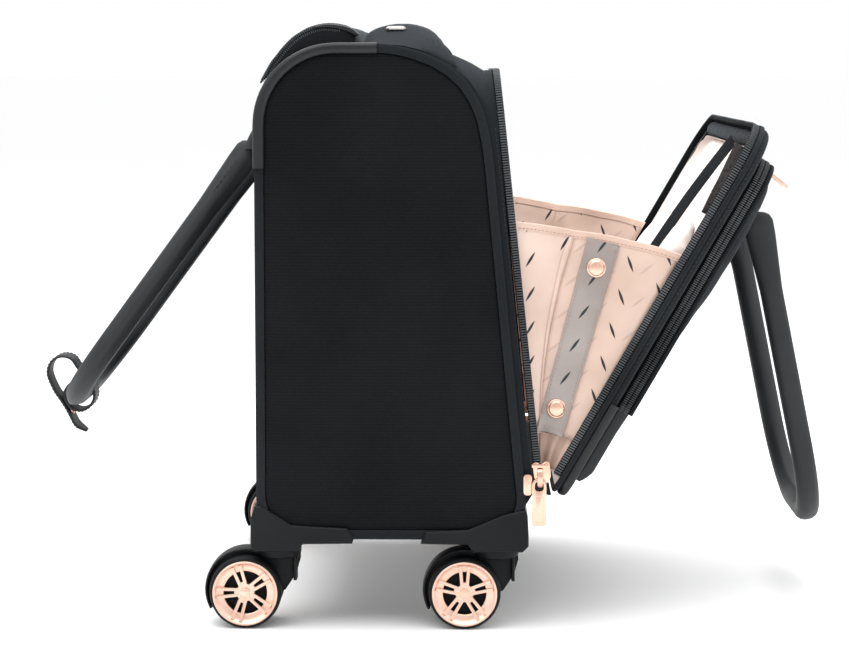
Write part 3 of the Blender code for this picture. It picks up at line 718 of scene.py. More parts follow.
PALE = metal_material("pale_metal", (0.62, 0.58, 0.55), (0.78, 0.75, 0.72), 0.35)
PITCH = 0.0255
REAR_PRINT = lining_material("lining_rear", (0.70, 0.55, 0.475), (0.58, 0.43, 0.36), (PITCH, 0.0, 58.0, 0.543, 0.512))
FRONT_PRINT = lining_material(
    "lining_front",
    (0.67, 0.51, 0.435),
    (0.55, 0.40, 0.33),
    (PITCH, -14.8, -71.0, 0.538, 0.563),
    (PITCH, -14.8, 38.0, 0.54, 0.06),
)
STRAP_PRINT = (PITCH, -15.5, 52.0, 0.6435, 0.6134)
STRAP = lining_material("strap_face", (0.38, 0.345, 0.325), (0.27, 0.235, 0.22), STRAP_PRINT, None, 0.5)
HEM = lining_material("lining_hem", (0.66, 0.49, 0.41), (0.55, 0.39, 0.32), None)
# Same print as lining_rear, set darker and oranger: painted shade of the shell's inside.
INSIDE_PAINTED_SHADE = lining_material("lining_inside", (0.62, 0.43, 0.34), (0.50, 0.34, 0.27), (PITCH, 0.0, 58.0))
WHITE_LINING = lining_material("lining_pale", (0.72, 0.66, 0.63), (0.62, 0.55, 0.515), (PITCH * 1.3, 20.0, 60.0))
NET = mesh_material()


# ---------------------------------------------------------------- case
def build_case_body():
    outer = shell_grid(0.0, 1.2)
    inner = shell_grid(SHELL_T)
    nk = len(outer)
    nj = len(outer[0])
    verts = [v for line in outer for v in line] + [v for line in inner for v in line]
    base = nk * nj
    faces = []
    for k in range(nk - 1):
        for j in range(nj - 1):
            a = k * nj + j
            faces.append((a, a + 1, a + nj + 1, a + nj))
            faces.append((base + a, base + a + nj, base + a + nj + 1, base + a + 1))
    for j in range(nj - 1):
        for a in (j, (nk - 1) * nj + j):
            faces.append((a, a + 1, base + a + 1, base + a))
    for j in (0, nj - 1):
        faces.append(tuple(k * nj + j for k in range(nk)))
        faces.append(tuple(base + k * nj + j for k in range(nk)))
        faces.append((j, (nk - 1) * nj + j, base + (nk - 1) * nj + j, base + j))
    body = mesh_piece("case_body", verts, faces, BODY, 38.0)
    x0, x1 = TROLLEY_HOLE_X
    hole = ((x0, 385.0), (x1, 385.0), (x1, 460.0), (x0, 460.0))
    cut_out(body, [[(x, y, z) for x, z in hole] for y in (-TROLLEY_HOLE_Y, TROLLEY_HOLE_Y)])
    on(body, "case", "body_fabric", "case_shell")


def build_case_lining():
    """Printed liner inside the shell: the wrapped wall, in front of the trolley, and the two side walls."""
    grid = [[(max(x, LINING_MIN_X), y, z) for x, y, z in line] for line in shell_grid(LINING_T, 1.0)]
    parts = [sheet_grid(grid)]
    for j in (0, len(grid[0]) - 1):
        outline = [line[j] for line in grid]
        centre = Vector((-30.0, outline[0][1], 250.0))
        rings = []
        for k in (1.0, 0.9, 0.7, 0.45, 0.2, 0.02):
            ring = []
            for p in outline:
                q = centre.lerp(Vector(p), k)
                q.y += math.copysign(ripple(q, 40.0, 1.5 * (1.0 - k)), -q.y)
                ring.append(tuple(q))
            rings.append(ring)
        parts.append(loft(rings, cap=False))
    # The liner's darker, oranger tone is painted shade.
    lining = mesh_piece("case_lining", *merged(parts), INSIDE_PAINTED_SHADE, 50.0)
    on(lining, "case", "lining")


def build_side(name, sign):
    outline = side_outline()
    centreline = offset(outline, PIPE_W / 2)

    def beside(x, z, y):
        return (x, sign * y, z)

    section = rounded(-3.5, 3.3, PIPE_Y0, 171.9, 12, 0.8)
    piping = mesh_piece(name + "_piping", *ribbon(centreline, section, beside, True), BODY)
    on(piping, "case", "piping_vinyl", name + "_side_piping")
    start = next(i for i, p in enumerate(outline) if p[0] < -30.0 and p[1] > 400.0)
    end = next(i for i, p in enumerate(outline) if i > start and p[0] < -100.0 and p[1] < 348.0)
    bound = even(centreline[start : end + 1], 3.0)
    section = rounded(-4.3, 4.2, PIPE_Y0 - 0.3, 174.2, 20, 1.0)
    binding = mesh_piece(name + "_corner_binding", *ribbon(bound, section, beside), VINYL)
    on(binding, "case", "piping_vinyl")
    edge = offset(outline, PIPE_W + 0.3)
    centre = np.array((-27.0, 250.0))
    rings = []
    steps = ((1.0, 168.4), (1.0, 168.9), (0.994, 169.7), (0.985, 170.2), (0.965, 170.6), (0.93, 170.9))
    steps += ((0.87, 171.1), (0.78, 171.3), (0.66, 171.4))
    steps += tuple((k, 171.5) for k in (0.52, 0.36, 0.2, 0.004))
    for k, y in steps:
        ring = []
        for p in edge:
            x, z = centre + (p - centre) * k
            wave = ripple((x, 0.0, z), 42.0, 1.1, sign * 3.0) + ripple((x, 0.0, z), 15.0, 0.22, sign)
            fade = min(1.0, (1.0 - k) * 9.0, max(0.0, (k - 0.1) * 4.0))
            ring.append((x, sign * (y + wave * fade), z))
        rings.append(ring)
    panel = mesh_piece(name + "_panel", *loft(rings), PANEL, 60.0)
    on(panel, "case", "body_fabric", name + "_side_panel")


def build_mouth_zip():
    path = u_path(HALF_W - 1.6, 14.0, MOUTH_TOP - 1.6, MOUTH_R - 1.6)
    tape = mesh_piece("case_tape", *ribbon(path, rounded(-1.6, 1.6, -TAPE_T, -0.35, 12, 0.45), on_mouth), TAPE)
    on(tape, "case", "zip_tape", "case_zip_tape")
    coil = mesh_piece("case_coil", *teeth(path, on_mouth, 1.9, 1.2, 2.7, -5.5, -0.25), PAINTED_HIGHLIGHT_COIL)
    on(coil, "case", "zip_tape")
    tape = mesh_piece("lid_tape", *ribbon(path, rounded(-1.6, 1.6, 0.35, TAPE_T, 12, 0.45), on_lid), TAPE)
    on(tape, "lid", "zip_tape", "lid_zip_tape")
    coil = mesh_piece("lid_coil", *teeth(path, on_lid, 1.9, 1.2, 2.7, 0.25, 5.5), PAINTED_HIGHLIGHT_COIL)
    on(coil, "lid", "zip_tape")


def build_hinge_cloth():
    """Fabric that joins the case's sill to the lid's lower edge."""
    rows = []
    for k in range(13):
        f = k / 12
        s = -2.5 - 3.0 * math.sin(math.pi * f)
        lean = MOUTH_LEAN + (LID_LEAN - MOUTH_LEAN) * f
        t = -8.0 * (1.0 - f) + 8.0 * f
        rows.append([plane_point(lean, s, t, y) for y in np.linspace(-160.0, 160.0, 41)])
    cloth = mesh_piece("hinge_cloth", *sheet_grid(rows), BODY)
    thicken(cloth, 0.0012)
    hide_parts("hinge_strip")
    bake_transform(cloth)


# ---------------------------------------------------------------- lid
def lid_ring(d, t):
    outline = plate_outline(HALF_W - d, 2.0 + d, MOUTH_TOP - d, MOUTH_R - d, max(3.0, 12.0 - d), 24)
    return [lid_at(s, t, y) for y, s in outline]


def build_lid_body():
    outer = [(0.4, 6.3), (0.0, 6.8), (0.0, 9.5), (0.0, 12.2), (0.5, 13.6), (1.5, 14.8), (2.8, 15.6), (4.4, 16.0)]
    inner = [(3.2, 12.8), (3.2, 6.3)]
    rings = [lid_ring(d, t) for d, t in inner + outer]
    body = mesh_piece("lid_body", *loft(rings), BODY, 40.0)
    on(body, "lid", "body_fabric", "lid_shell")
    closed = even(plate_outline(HALF_W, 2.0, MOUTH_TOP, MOUTH_R, 12.0, 24), 3.0, True)
    piping = mesh_piece("lid_piping", *ribbon(closed, rounded(-1.2, 2.0, 6.6, 10.0, 12, 0.85), on_lid, True), BODY)
    on(piping, "lid", "body_fabric")
    low = [(HALF_W, 80.0)] + arc(HALF_W - 12.0, 14.0, 12.0, 0, -90, 12)
    low += [(-y, s) for y, s in reversed(low)]
    low = even(low, 3.0)[::-1]
    binding = mesh_piece("lid_corner_binding", *ribbon(low, rounded(-4.0, 1.6, 10.4, 17.6, 16, 0.85), on_lid), VINYL)
    on(binding, "lid", "piping_vinyl")


def build_lid_inside():
    rings = []
    for d, t in ((3.6, 6.6), (3.7, 10.0), (5.0, 12.0), (9.0, 12.6), (20.0, 12.6), (36.0, 12.6)):
        ring = []
        for y, s in plate_outline(HALF_W - d, 2.0 + d, min(MOUTH_TOP - d, 294.0), max(4.0, MOUTH_R - d), 6.0, 24):
            ring.append(lid_at(s, t - abs(ripple((y, s, t), 14.0, 1.6)), y))
        rings.append(ring)
    verts, faces = loft(rings)
    lining = mesh_piece("lid_lining", verts, faces[:-2] + faces[-1:], WHITE_LINING, 60.0)
    on(lining, "lid", "lining")
    net = []
    for k in range(15):
        s = 14.0 + 164.0 * k / 14
        row = []
        for y in np.linspace(-150, 150, 31):
            row.append(lid_at(s, 9.6 - 2.2 * math.sin(math.pi * (y + 150) / 300) - ripple((y, s, 0), 25.0, 1.6), y))
        net.append(row)
    panel = mesh_piece("lid_net_pocket", *sheet_grid(net), NET)
    thicken(panel, 0.0009)
    on(panel, "lid", "pocket_mesh", "lid_inner_pocket")
    top = [lid_at(178.5, 9.2 - 2.2 * math.sin(math.pi * (y + 150) / 300), y) for y in np.linspace(-150, 150, 61)]
    rim = tube(top, lid_normal(), lambda f: rounded(-4.5, 4.5, -1.0, 1.0, 10))
    on(mesh_piece("lid_net_hem", *rim, WEBBING), "lid", "pocket_mesh")
    path = []
    for k in range(25):
        f = k / 24
        path.append(lid_at(188.0 + 110.0 * f, -6.5 + 12.0 * f - 1.5 * math.sin(math.pi * f), -52.0 + 10.0 * f))
    strap = tube(path, (0.25, 1.0, 0.0), lambda f: rounded(-4.0, 4.0, -0.8, 0.8, 14, 0.4))
    on(mesh_piece("lid_strap_middle", *strap, WEBBING), "lid", "strap_webbing")
    rows = []
    for k in range(17):
        f = k / 16
        line = []
        for m in range(7):
            q = m / 6
            t = -1.5 + 6.0 * f + (11.0 - 3.5 * f) * q
            line.append(lid_at(293.0 - 58.0 * f, t, -118.0 + 12.0 * f + ripple((f * 40, q * 20, 0), 14.0, 2.0)))
        rows.append(line)
    side_net = mesh_piece("lid_side_net", *sheet_grid(rows), NET)
    thicken(side_net, 0.0009)
    on(side_net, "lid", "pocket_mesh")
    edge = [lid_at(s, 5.6 + 0.5 * math.sin(s * 0.13), -157.0) for s in np.linspace(150.0, 276.0, 60)]
    rim = tube(edge, (0, 1, 0), lambda f: rounded(-2.6, 2.6, -0.9, 0.9, 12, 0.5))
    on(mesh_piece("lid_lining_edge", *rim, WHITE_LINING), "lid", "lining")
    roll = []
    for y in np.linspace(-132.0, 132.0, 67):
        soft = 1.0 + 0.10 * math.sin(y * 0.21) + 0.06 * math.sin(y * 0.53)
        ring = []
        for a in turns(16):
            ring.append(lid_at(301.0 + 5.6 * soft * math.cos(a), 7.6 + 5.0 * soft * math.sin(a), y))
        roll.append(ring)
    on(mesh_piece("lid_top_roll", *loft(roll), BODY), "lid", "body_fabric")


def lid_normal():
    return Vector(lid_at(0, 1)) - Vector(lid_at(0, 0))


def inflate(obj, voxel, pressure, cap, frames=18):
    """Swells a closed mesh with a short cloth simulation, keeps every point within the cap, and smooths it."""
    modifier(obj, "REMESH", mode="VOXEL", voxel_size=voxel * MM)
    apply_modifiers(obj)
    rest = np.zeros(len(obj.data.vertices) * 3)
    obj.data.vertices.foreach_get("co", rest)
    rest = rest.reshape(-1, 3)
    cloth = modifier(obj, "CLOTH")
    cloth.settings.quality = 4
    cloth.settings.mass = 0.3
    cloth.settings.tension_stiffness = 18.0
    cloth.settings.compression_stiffness = 18.0
    cloth.settings.bending_stiffness = 1.5
    cloth.settings.use_pressure = True
    cloth.settings.uniform_pressure_force = pressure
    cloth.settings.effector_weights.gravity = 0.0
    cloth.collision_settings.use_collision = False
    cloth.point_cache.frame_end = frames
    scene = bpy.context.scene
    for f in range(1, frames + 1):
        scene.frame_set(f)
    apply_modifiers(obj)
    scene.frame_set(1)
    now = np.zeros(len(obj.data.vertices) * 3)
    obj.data.vertices.foreach_get("co", now)
    now = now.reshape(-1, 3)
    move = now - rest
    far = np.linalg.norm(move, axis=1)
    move *= np.minimum(1.0, cap * MM / np.maximum(far, 1e-9))[:, None]
    obj.data.vertices.foreach_set("co", (rest + move).ravel())
    modifier(obj, "SMOOTH", iterations=4, factor=0.5)
    modifier(obj, "SUBSURF", levels=1, render_levels=1)
    apply_modifiers(obj)
    obj.data.shade_smooth()
    return obj


def build_lid_pouches():
    """Two stuffed pockets in the lid, each a soft pad of shrinking outlines."""
    near = ("near", -100.0, 34.0, 95.0, 226.0, 1.5)
    far = ("far", 12.0, 40.0, 95.0, 224.0, -1.0)
    for name, y, half, s0, s1, t_mid in (near, far):
        rings = []
        for k, t in ((0.80, t_mid + 6.5), (0.97, t_mid + 3.0), (1.0, t_mid), (0.95, t_mid - 4.0), (0.72, t_mid - 7.0)):
            ring = []
            for v, s in plate_outline(half * k, s0 + 8 * (1 - k), s1 - 18 * (1 - k), half * k * 0.9, 8.0, 12):
                ring.append(lid_at(s, t, y + v))
            rings.append(ring)
        pouch = mesh_piece("lid_pouch_" + name, *loft(rings), WHITE_LINING)
        inflate(pouch, 4.5, 5.0, 5.0)
        on(pouch, "lid", "lining")


POCKET_FRONT = [(15.0, 17.2), (18.0, 20.5), (31.0, 24.0), (51.0, 25.0), (70.0, 26.5), (90.0, 27.0)]
POCKET_FRONT += [(120.0, 29.0), (153.0, 32.0), (183.0, 34.6), (210.0, 36.0), (238.0, 35.2)]
POCKET_FRONT += [(262.0, 33.6), (279.0, 31.6), (286.5, 27.0), (289.0, 20.0), (289.0, 17.2)]


def build_front_pocket():
    """Zipped pocket on the lid: a swollen pad, a side zip that runs over its top, and a piped edge."""
    profile = spline(POCKET_FRONT, 6.0)
    rings = []
    for y in np.linspace(-154.0, 154.0, 45):
        edge = max(0.0, (abs(y) - 136.0) / 18.0)
        f = math.sqrt(max(0.0, 1.0 - edge**4 * 0.55))
        ring = []
        for s, t in profile:
            inset = 5.0 * edge**3
            ring.append(lid_at(min(max(s, 15.0 + inset), 289.0 - inset), 16.5 + (t - 16.5) * f * 0.97, y))
        ring += [lid_at(s, 16.3, y) for s in (289.0 - 5.0 * edge**3, 150.0, 15.0 + 5.0 * edge**3)]
        rings.append(ring)
    pocket = mesh_piece("lid_front_pocket", *loft(rings), BODY)
    inflate(pocket, 5.0, 4.0, 4.0)
    for v in pocket.data.vertices:
        v.co += v.normal * (noise.noise(v.co * 26.0) * 0.0007)
    on(pocket, "lid", "body_fabric", "front_pocket")
    path = u_path(155.5, 78.0, 289.5, 26.0, 2.5)
    tape = ribbon(path, rounded(-1.0, 1.6, 17.2, 28.6, 14, 0.4), on_lid)
    on(mesh_piece("pocket_zip_tape", *tape, TAPE), "lid", "zip_tape")
    for name, t0, t1 in (("inner", 18.9, 22.6), ("outer", 23.0, 26.7)):
        row = teeth(path, on_lid, 1.65, 1.4, 2.9, t0, t1)
        on(mesh_piece("pocket_coil_" + name, *row, PAINTED_HIGHLIGHT_COIL), "lid", "zip_tape")
    edge = ribbon(path, rounded(-1.8, 2.2, 28.2, 31.2, 10, 0.85), on_lid)
    on(mesh_piece("pocket_piping", *edge, BODY), "lid", "body_fabric")
    for name, sign in sides():
        rings = []
        for s in np.linspace(16.0, 82.0, 34):
            f = min(1.0, (s - 15.0) / 12.0)
            top = 20.0 + 7.5 * math.sqrt(f) + 1.2 * max(0.0, s - 60.0) / 22.0
            section = rounded(-4.0, 1.7 * f + 0.4, 17.2, top, 16, 0.6)
            rings.append([lid_at(s, t, sign * (155.3 + u)) for u, t in section])
        on(mesh_piece("pocket_side_band_" + name, *loft(rings), VINYL), "lid", "piping_vinyl")


def build_badge():
    """Plain pale plate with two rivets, and a small ring above it."""
    rings = []
    for d, t in ((0.0, 33.0), (0.0, 35.4), (1.0, 36.0)):
        outline = plate_outline(21.0 - d, 161.0 + d, 187.0 - d, 4.0, 4.0)
        rings.append([lid_at(s, t + 0.05 * (s - 174.0), y) for y, s in outline])
    plate = loft(rings)
    rivets = [dome(lid_at(174.0, 36.0, y), lid_normal(), 2.2, 1.2, 4, 14) for y in (-15.0, 15.0)]
    on(mesh_piece("pocket_badge", *merged([plate] + rivets), PALE), "lid", "rose_metal")
    loop = [lid_at(212.0 + 7.0 * math.sin(w), 37.0 + 4.0 * math.cos(w), 0.0) for w in np.linspace(0.3, 5.98, 26)]
    ring = tube(loop, (0, 1, 0), lambda f: rounded(-0.9, 0.9, -0.9, 0.9, 8, 1.0))
    on(mesh_piece("pocket_ring", *ring, PALE), "lid", "rose_metal")


# ---------------------------------------------------------------- gussets
STRAP_FOOT = (100.0, 166.0)
STRAP_HEAD = (129.0, 270.8)


def gusset_y(a, r):
    """How far the cloth sits from the middle: sewn edges out, fold in."""
    fold = (1.0 - abs(2.0 * a - 1.0)) ** 0.85
    return 163.0 - 11.0 * fold * (0.5 + 0.5 * min(1.0, r / 190.0))


def gusset_angle(a, r):
    """Degrees forward of vertical, from the sewn rear edge through the fold to the lid."""
    fold = -3.0 + 10.2 * (r - 40.0) / 151.0
    rear = MOUTH_LEAN + 0.5
    front = LID_LEAN - 0.5
    return rear + (fold - rear) * 2.0 * a if a < 0.5 else fold + (front - fold) * (2.0 * a - 1.0)


def gusset_top(a):
    return float(np.interp(a, (0.0, 0.25, 0.5, 0.75, 1.0), (198.0, 194.0, 191.0, 193.0, 198.5)))


def gusset_point(a, r, sign, lift=0.0):
    w = math.radians(gusset_angle(a, r))
    x = HINGE_X + r * math.sin(w) + 3.2 * (2.0 * a - 1.0)
    z = HINGE_Z + r * math.cos(w)
    y = gusset_y(a, r) + ripple((x, sign, z), 24.0, 2.6, sign) * math.sin(math.pi * a) + lift
    return (x, sign * y, z)


def blend_gusset(obj):
    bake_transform(obj)


def build_gusset(name, sign):
    for part, a0, a1, mat in (("rear", 0.0, 0.5, REAR_PRINT), ("front", 0.5, 1.0, FRONT_PRINT)):
        rows = []
        for k in range(41):
            f = k / 40
            rows.append([gusset_point(a, 40.0 + (gusset_top(a) - 40.0) * f, sign) for a in np.linspace(a0, a1, 19)])
        cloth = mesh_piece("gusset_" + part + "_cloth_" + name, *sheet_grid(rows), mat, 60.0)
        thicken(cloth, 0.0007)
        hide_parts("gusset_" + part + "_" + name)
        blend_gusset(cloth)
    hem = []
    section = ((-5.0, 0.9), (0.2, 1.0), (0.8, 0.0), (0.2, -1.0), (-5.0, -0.9))
    for a in np.linspace(0.0, 1.0, 60):
        hem.append([gusset_point(a, gusset_top(a) + dr, sign, lift) for dr, lift in section])
    band = mesh_piece("gusset_hem_" + name, *loft(hem), HEM)
    blend_gusset(band)
    seam = [gusset_point(a, gusset_top(a) - 3.6, sign, 1.1) for a in np.linspace(0.01, 0.99, 60)]
    pieces = [stitches(seam, 1.8, 1.2, 0.22)]
    pieces.append(stitches([gusset_point(0.47, r, sign, 0.6) for r in np.linspace(45, 186, 40)], 1.8, 1.2, 0.22))
    thread = mesh_piece("gusset_stitching_" + name, *merged(pieces), PINK_THREAD)
    blend_gusset(thread)
    pleat = []
    section = ((0.435, 0.2), (0.442, 1.5), (0.462, 2.0), (0.482, 1.7), (0.487, 0.2))
    for k in range(40):
        r = 46.0 + 141.0 * k / 39
        pleat.append([gusset_point(a, r, sign, lift) for a, lift in section])
    fold = mesh_piece("gusset_pleat_" + name, *loft(pleat), REAR_PRINT)
    blend_gusset(fold)
    frill = []
    for k in range(10):
        row = []
        for a in np.linspace(0.02, 0.98, 60):
            wave = 2.8 * math.sin(a * 27.0 + k * 0.25) * (0.3 + 0.7 * k / 9)
            row.append(gusset_point(a, 42.0 - 3.2 * k, sign, -3.5 + wave))
        frill.append(row)
    ruffle = mesh_piece("gusset_frill_" + name, *sheet_grid(frill), HEM, 60.0)
    thicken(ruffle, 0.0006)
    blend_gusset(ruffle)
    build_strap(name, sign)


def build_strap(name, sign):
    foot = Vector((STRAP_FOOT[0], 0.0, STRAP_FOOT[1]))
    head = Vector((STRAP_HEAD[0], 0.0, STRAP_HEAD[1]))
    along = (head - foot).normalized()
    across = Vector((along.z, 0.0, -along.x))

    def cloth_y(p):
        """Y of the cloth under a strap point."""
        d = Vector((p.x - HINGE_X, 0.0, p.z - HINGE_Z))
        r = d.length
        angle = math.degrees(math.atan2(d.x, d.z))
        best = min(np.linspace(0.0, 1.0, 81), key=lambda a: abs(gusset_angle(a, r) - angle))
        return gusset_y(best, r) + ripple((p.x, sign, p.z), 24.0, 2.6, sign) * math.sin(math.pi * best)

    length = (head - foot).length
    section = ((-1.0, 0.6), (-0.97, 1.9), (-0.5, 2.1), (0.0, 2.2), (0.5, 2.1), (0.97, 1.9), (1.0, 0.6))
    section += tuple((c, 0.4) for c in (0.9, 0.0, -0.9))
    rows = []
    edges = [[], []]
    for k in range(37):
        f = k / 36
        start = foot + along * (-19.0 + (length + 19.0 + 20.0) * f)
        half = 10.0 + 2.2 * f

        def strap_point(c, lift):
            p = start + across * (half * c)
            return (p.x, sign * (max(cloth_y(p), 154.0) + lift), p.z)

        rows.append([strap_point(c, lift) for c, lift in section])
        for e, c in zip(edges, (-0.84, 0.84)):
            e.append(strap_point(c, 2.15))
    strap = mesh_piece("gusset_strap_face_" + name, *loft(rows), STRAP, 50.0)
    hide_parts("gusset_strap_" + name)
    blend_gusset(strap)
    edges[0] = edges[0][1:-1]
    edges[1] = edges[1][1:-1]
    ends = [[edges[0][k], edges[1][k]] for k in (0, -1)]
    rows = [stitches(e, 1.9, 1.2, 0.24) for e in edges + ends]
    thread = mesh_piece("gusset_strap_stitching_" + name, *merged(rows), PINK_THREAD)
    blend_gusset(thread)
    snaps = []
    for x, z in (STRAP_FOOT, STRAP_HEAD):
        y = max(cloth_y(Vector((x, 0.0, z))), 154.0) + 2.2
        snaps.append(dome((x, sign * y, z), (0.0, sign, 0.0), 7.3, 3.0, 6, 28))
    on(mesh_piece("gusset_snaps_" + name, *merged(snaps), ROSE), "gusset_fold", "rose_metal")


# ---------------------------------------------------------------- top
def pocket_crest():
    crest = [(-118.8, 409.5), (-112.0, 421.5), (-103.0, 433.0), (-95.5, 440.5), (-86.8, 446.0)]
    crest += [(-78.0, 449.3), (-70.0, 450.2), (-60.0, 449.4), (-53.0, 447.5), (-48.6, 443.8)]
    return crest


def build_back_pocket():
    """Puffed pocket over the rear top edge, open in the middle for the trolley grip."""
    outline = list(reversed(pocket_crest())) + [(-120.0, 407.0)]
    outline += list(reversed(arc(-63.0, 376.5, 58.6, 90, 146, 8))) + [(-48.6, 435.1)]
    outline = even(outline, 5.0, True)
    rings = []
    for y in np.linspace(-152.0, 152.0, 49):
        f = math.sqrt(max(0.05, 1.0 - max(0.0, (abs(y) - 122.0) / 30.0) ** 2))
        ring = []
        for x, z in outline:
            d = Vector((min(x + 63.0, 0.0), z - 376.5))
            r = d.length
            if r > 59.0:
                d *= (58.6 + (r - 58.6) * f * 0.97) / r
            ring.append((-63.0 + d.x if x <= -63.0 else x, y, 376.5 + d.y))
        rings.append(ring)
    pocket = mesh_piece("rear_top_pocket", *loft(rings), BODY)
    inflate(pocket, 4.5, 3.0, 2.5)
    notch = [(-130.0, 380.0), (-85.2, 380.0), (-85.2, 470.0), (-130.0, 470.0)]
    cut_out(pocket, [[(x, y, z) for x, z in notch] for y in (-76.3, 76.3)])
    on(pocket, "case", "body_fabric", "back_pocket")


def build_pocket_end_zip(name, sign):
    """Puffed end wall with a double coil that follows its crest, and a bound flap where the coil ends."""
    crest = spline(pocket_crest(), 2.0)[::-1]
    seat = [(-119.8, 405.4), (-113.5, 414.5), (-103.0, 425.5), (-89.0, 432.6), (-70.0, 434.6), (-49.0, 434.8)]
    outline = even(list(crest) + [tuple(p) for p in spline(seat, 3.0)], 3.0, True)
    c = np.mean(outline, axis=0)
    rings = []
    levels = ((150.0, 0.985), (152.0, 1.0), (155.0, 1.0), (157.0, 0.985), (158.3, 0.95), (159.0, 0.88), (159.4, 0.7))
    for y, k in levels + ((159.6, 0.4), (159.6, 0.01)):
        rings.append([(c[0] + (x - c[0]) * k, sign * y, c[1] + (z - c[1]) * k) for x, z in outline])
    on(mesh_piece("crest_wall_" + name, *loft(rings), BODY), "case", "body_fabric")
    path = [p for p in spline(pocket_crest()[:8], 2.0)][::-1]
    for row, inset in (("upper", 1.6), ("lower", 4.2)):
        t = tangents(path)
        line = even([(x - tz * inset, z + tx * inset) for (x, z), (tx, tz) in zip(path, t)], 1.6)
        t = tangents(line)
        parts = []
        for (x, z), (tx, tz) in zip(line, t):
            bars = []
            for v, f in ((-1.15, 0.4), (-0.75, 1.0), (0.75, 1.0), (1.15, 0.4)):
                ring = []
                for w in turns(6):
                    a = 0.52 * f * math.cos(w)
                    ring.append((x + tx * a - tz * v, sign * (158.6 + 1.3 * f * math.sin(w)), z + tz * a + tx * v))
                bars.append(ring)
            parts.append(loft(bars))
        on(mesh_piece("crest_coil_" + row + "_" + name, *merged(parts), PAINTED_HIGHLIGHT_COIL), "case", "zip_tape")
    flap = spline([(-80.0, 447.6), (-70.0, 448.8), (-60.0, 447.8), (-52.0, 445.4), (-47.0, 442.0)], 2.0)[::-1]
    rings = []
    for i, ((x, z), (tx, tz)) in enumerate(zip(flap, tangents(flap))):
        w = 2.3 * math.sqrt(min(1.0, 0.25 + 0.2 * i)) * (1.0 - 0.6 * i / len(flap))
        rings.append([(x + tz * u, sign * v, z - tx * u) for u, v in rounded(-w, w, 148.0, 160.9, 14, 0.5)])
    on(mesh_piece("crest_flap_" + name, *loft(rings), VINYL), "case", "piping_vinyl")


def build_grab_handle():
    """Padded strap along the top with sewn ends, welt seams and a pale metal bar at each end."""
    spine = [(-166.5, 434.8, 0.9, 33.0), (-160.0, 436.0, 1.4, 32.0), (-150.0, 438.4, 2.0, 30.5)]
    spine += [(-136.0, 442.0, 2.9, 28.5), (-118.0, 445.4, 3.8, 27.5), (-98.0, 446.8, 4.4, 27.0)]
    spine += [(-60.0, 447.3, 4.8, 27.0), (0.0, 447.4, 4.9, 27.0)]
    spine += [(-y, z, h, w) for y, z, h, w in reversed(spine[:-1])]
    rings = []
    for y, z, h, w in spline(spine, 5.0):
        ring = []
        for a in turns(32, 0.5):
            c = signed_power(math.cos(a), 0.75)
            s = signed_power(math.sin(a), 0.8)
            x = -16.5 + w * c + 0.16 * max(0.0, w - 27.0) * 10.0
            lie = 1.0 - min(1.0, max(0.0, (z - 434.6) / 12.6))
            p = (x, y, z + h * s - arch_drop(c, h) - lie * shell_fall(x, y))
            ring.append((p[0], p[1], p[2] + ripple(p, 16.0, 0.6)))
        rings.append(ring)
    strap = mesh_piece("grab_handle_pad", *loft(rings), BODY, 60.0)
    on(strap, "case", "body_fabric", "top_grab_handle")
    seams = []
    for c in (-0.84, 0.84):
        line = []
        for y, z, h, w in spline(spine, 5.0):
            line.append((-16.5 + w * c, y, z + h * 0.62 - arch_drop(c, h) + 0.1))
        seams.append(stitches(line, 2.6, 1.3, 0.28))
    on(mesh_piece("grab_handle_stitching", *merged(seams), THREAD), "case", "body_fabric")
    for name, sign in sides():
        path = even([(-27.4, sign * 128.0, 447.0), (-12.4, sign * 128.0, 447.0)], 0.8)
        pill = tube(path, (0, 0, 1), pill_section)
        on(mesh_piece("grab_handle_bar_" + name, *pill, PALE), "case", "trolley_metal")


def shell_fall(x, y):
    """How far the shell's top has dropped below its ridge, in its middle and towards its piping."""
    middle = float(np.interp(x, (-18.0, -4.0, 10.0, 22.0, 35.0), (0.0, 0.5, 2.5, 6.3, 12.5)))
    side = float(np.interp(x, (-30.0, -17.0, -5.2, 9.5, 22.1), (0.0, 0.8, 3.0, 8.0, 15.0)))
    share = min(1.0, max(0.0, (abs(y) - 138.0) / 28.0))
    return middle + (side - middle) * share * share


def arch_drop(c, h):
    """How far the strap's section falls from its crown towards its edges."""
    return 1.3 * h * abs(c) ** 2.2


def pill_section(share):
    w = math.sqrt(max(0.06, 1.0 - (2.0 * share - 1.0) ** 6))
    return rounded(-7.0 * w, 7.0 * w, -1.8 * w, 2.2 * w, 14, 0.75)


# ---------------------------------------------------------------- handles
def handle_path(length, half, bottom_r, step=4.0):
    pts = [(-5.0, -half), (length * 0.25, -half), (length * 0.5, -half), (length * 0.7, -half)]
    turn = length - bottom_r
    for i in range(13):
        a = math.radians(180 - 90 * i / 12)
        pts.append((turn + bottom_r * math.sin(a), -(half - bottom_r) + bottom_r * math.cos(a)))
    pts += [(d, -y) for d, y in reversed(pts)]
    middle = even(pts, step)
    ends = [middle[0] + (middle[1] - middle[0]) * f for f in (0.25, 0.5, 0.75)]
    tail = [np.array((d, -y)) for d, y in reversed(ends)]
    return np.vstack([middle[:1], ends, middle[1:-1], tail, middle[-1:]])


def strap_section(share, wide):
    """Folded leather strap: a soft tube with a sewn lip, pressed flat and wide near its two ends."""
    ends = min(share, 1.0 - share)
    flat = 1.0 - min(1.0, max(0.0, (ends - 0.03) / 0.07))
    tip = math.sqrt(max(0.02, 1.0 - max(0.0, 1.0 - ends / 0.014) ** 2))
    a = (8.6 * (1.0 - flat) + 5.0 * flat) * tip
    b = (8.8 * (1.0 - flat) + wide * flat) * tip
    out = []
    for w in turns(20):
        c, s = math.cos(w), math.sin(w)
        lip = 2.4 * tip * max(0.0, -c) ** 14
        out.append((a * signed_power(c, 0.85) - lip, b * signed_power(s, 0.85)))
    return out


